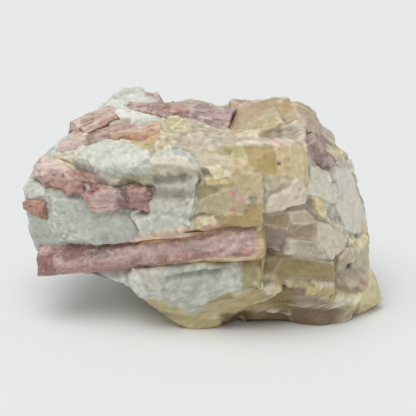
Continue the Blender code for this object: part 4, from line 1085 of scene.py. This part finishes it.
def make_crystal(name, sides, roll, lumps, stations):
    """A rubellite prism: a flat-sided section carried along its axis, grooved, cracked and broken.

    Each end is a ragged slanting cap, whose rings shrink to a point on the axis.
    """
    stations = np.array(stations)
    seed = int(stations[0, 3] * 10 + roll)
    rng = np.random.default_rng(seed)
    travel, centre, radius, along, sideways, upward = along_axis(stations)
    rows, caps = len(travel), CRYSTAL_CAP_ROWS
    angle = np.linspace(0, 2 * np.pi, CRYSTAL_COLUMNS, endpoint=False)
    width = crystal_widths(sides, travel, radius, angle, rng)
    opening = np.linspace(0, 1, caps + 1)
    share = np.concatenate([opening[1:], np.ones(rows - 2), opening[::-1][:-1]])
    row = np.concatenate([np.zeros(caps, int), np.arange(1, rows - 1), np.full(caps, rows - 1)])
    turned = angle + np.radians(roll)
    arms = (sideways[row][:, None] * np.cos(turned)[None, :, None]
            + upward[row][:, None] * np.sin(turned)[None, :, None])
    points = centre[row][:, None] + arms * (width[row] * share[:, None])[..., None]

    slant = np.zeros((len(row), CRYSTAL_COLUMNS))
    ends = np.zeros(len(row))
    for block, offset in ((slice(0, caps), 0), (slice(-caps, None), 1)):
        slant[block] = 0.2 * radius[0] * np.sin(turned + offset)[None, :] * share[block][:, None]
        ends[block] = 1
    flat = points.reshape(-1, 3)
    rough = 0.45 * faceted_relief(flat, 2.1, seed + 50) + 0.2 * faceted_relief(flat, 0.9, seed + 51)
    slant += ends[:, None] * rough.reshape(slant.shape)
    points = points + along[row][:, None] * slant[..., None]

    plates, plate_edge = grains(flat * np.array([0.4, 1.0, 1.0]), 1.5, seed + 52, 1.4)
    specks, _ = grains(flat, 0.8, seed + 58, 1.0)
    relief = lumps * faceted_relief(flat, 3.0, seed + 53) + 0.35 * lumps * plates
    relief += 0.04 * specks
    points = points + arms * (relief.reshape(slant.shape) * share[:, None])[..., None]
    colour = crystal_colours(points.reshape(-1, 3), flat, arms.reshape(-1, 3), turned, travel[row],
                             plates, plate_edge, specks, seed)
    glassy = np.full(len(flat), CRYSTAL_GLASSINESS)
    piece_name = name.replace("rubellite", "crystal")
    return closed_mesh(piece_name, points, points[0].mean(0), points[-1].mean(0), colour, glassy)


def dress(piece, material, nodes):
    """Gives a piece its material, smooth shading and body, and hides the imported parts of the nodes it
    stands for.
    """
    piece.data.materials.append(material)
    piece.data.shade_smooth()
    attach(piece, "root")
    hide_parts(*nodes)


def make_pieces():
    """Every visible piece of the rock."""
    albite, quartz = make_rock()
    dress(albite, mineral_material("albite_sugary", 0.20, 0.07, 0.15), ["albite"])
    dress(quartz, mineral_material("quartz_milky", 0.20, 0.05, 0.3), ["quartz"])
    rubellite = mineral_material("rubellite_pink", 0.4, 0.07, 0.2)
    for name, (sides, roll, lumps, _, stations) in CRYSTALS.items():
        dress(make_crystal(name, sides, roll, lumps, stations), rubellite, [name])


# Stage

def make_stage():
    """A pale floor that the rock lies on."""
    mesh = bpy.data.meshes.new("floor")
    half = FLOOR_HALF_WIDTH
    mesh.from_pydata([(-half, -half, 0), (half, -half, 0), (half, half, 0), (-half, half, 0)], [],
                     [(0, 1, 2, 3)])
    floor = bpy.data.objects.new("floor", mesh)
    bpy.context.scene.collection.objects.link(floor)
    mesh.materials.append(plain_material("floor_paper", FLOOR_COLOUR, FLOOR_ROUGHNESS))


def make_light():
    """A dim even room and a broad soft light from above, a little in front and to the left.

    The standard view transform keeps the materials' colours as they are written.
    """
    world = bpy.data.worlds.new("room")
    world.use_nodes = True
    world.node_tree.nodes["Background"].inputs["Color"].default_value = (*ROOM_COLOUR, 1)
    world.node_tree.nodes["Background"].inputs["Strength"].default_value = ROOM_LIGHT
    bpy.context.scene.world = world
    bpy.context.scene.view_settings.view_transform = "Standard"
    light = bpy.data.lights.new("overhead", "SUN")
    light.energy = OVERHEAD_LIGHT
    light.angle = OVERHEAD_SPREAD
    obj = bpy.data.objects.new("overhead", light)
    obj.rotation_euler = Vector(OVERHEAD_FROM).to_track_quat("Z", "Y").to_euler()
    bpy.context.scene.collection.objects.link(obj)


def make_camera():
    """The photo's viewpoint: in front, 20 degrees up, with a long lens."""
    forward = Vector((0, np.cos(VIEW_ELEVATION), -np.sin(VIEW_ELEVATION)))
    target = Vector((VIEW_TARGET - BASE_MIDDLE) * MM)
    camera = bpy.data.objects.new("photo_view", bpy.data.cameras.new("photo_view"))
    camera.data.lens = LENS_MM
    camera.data.sensor_width = SENSOR_MM
    camera.location = target - forward * VIEW_DISTANCE * MM
    camera.rotation_euler = forward.to_track_quat("-Z", "Y").to_euler()
    bpy.context.scene.collection.objects.link(camera)
    bpy.context.scene.camera = camera


make_camera()
make_light()
make_stage()
make_pieces()
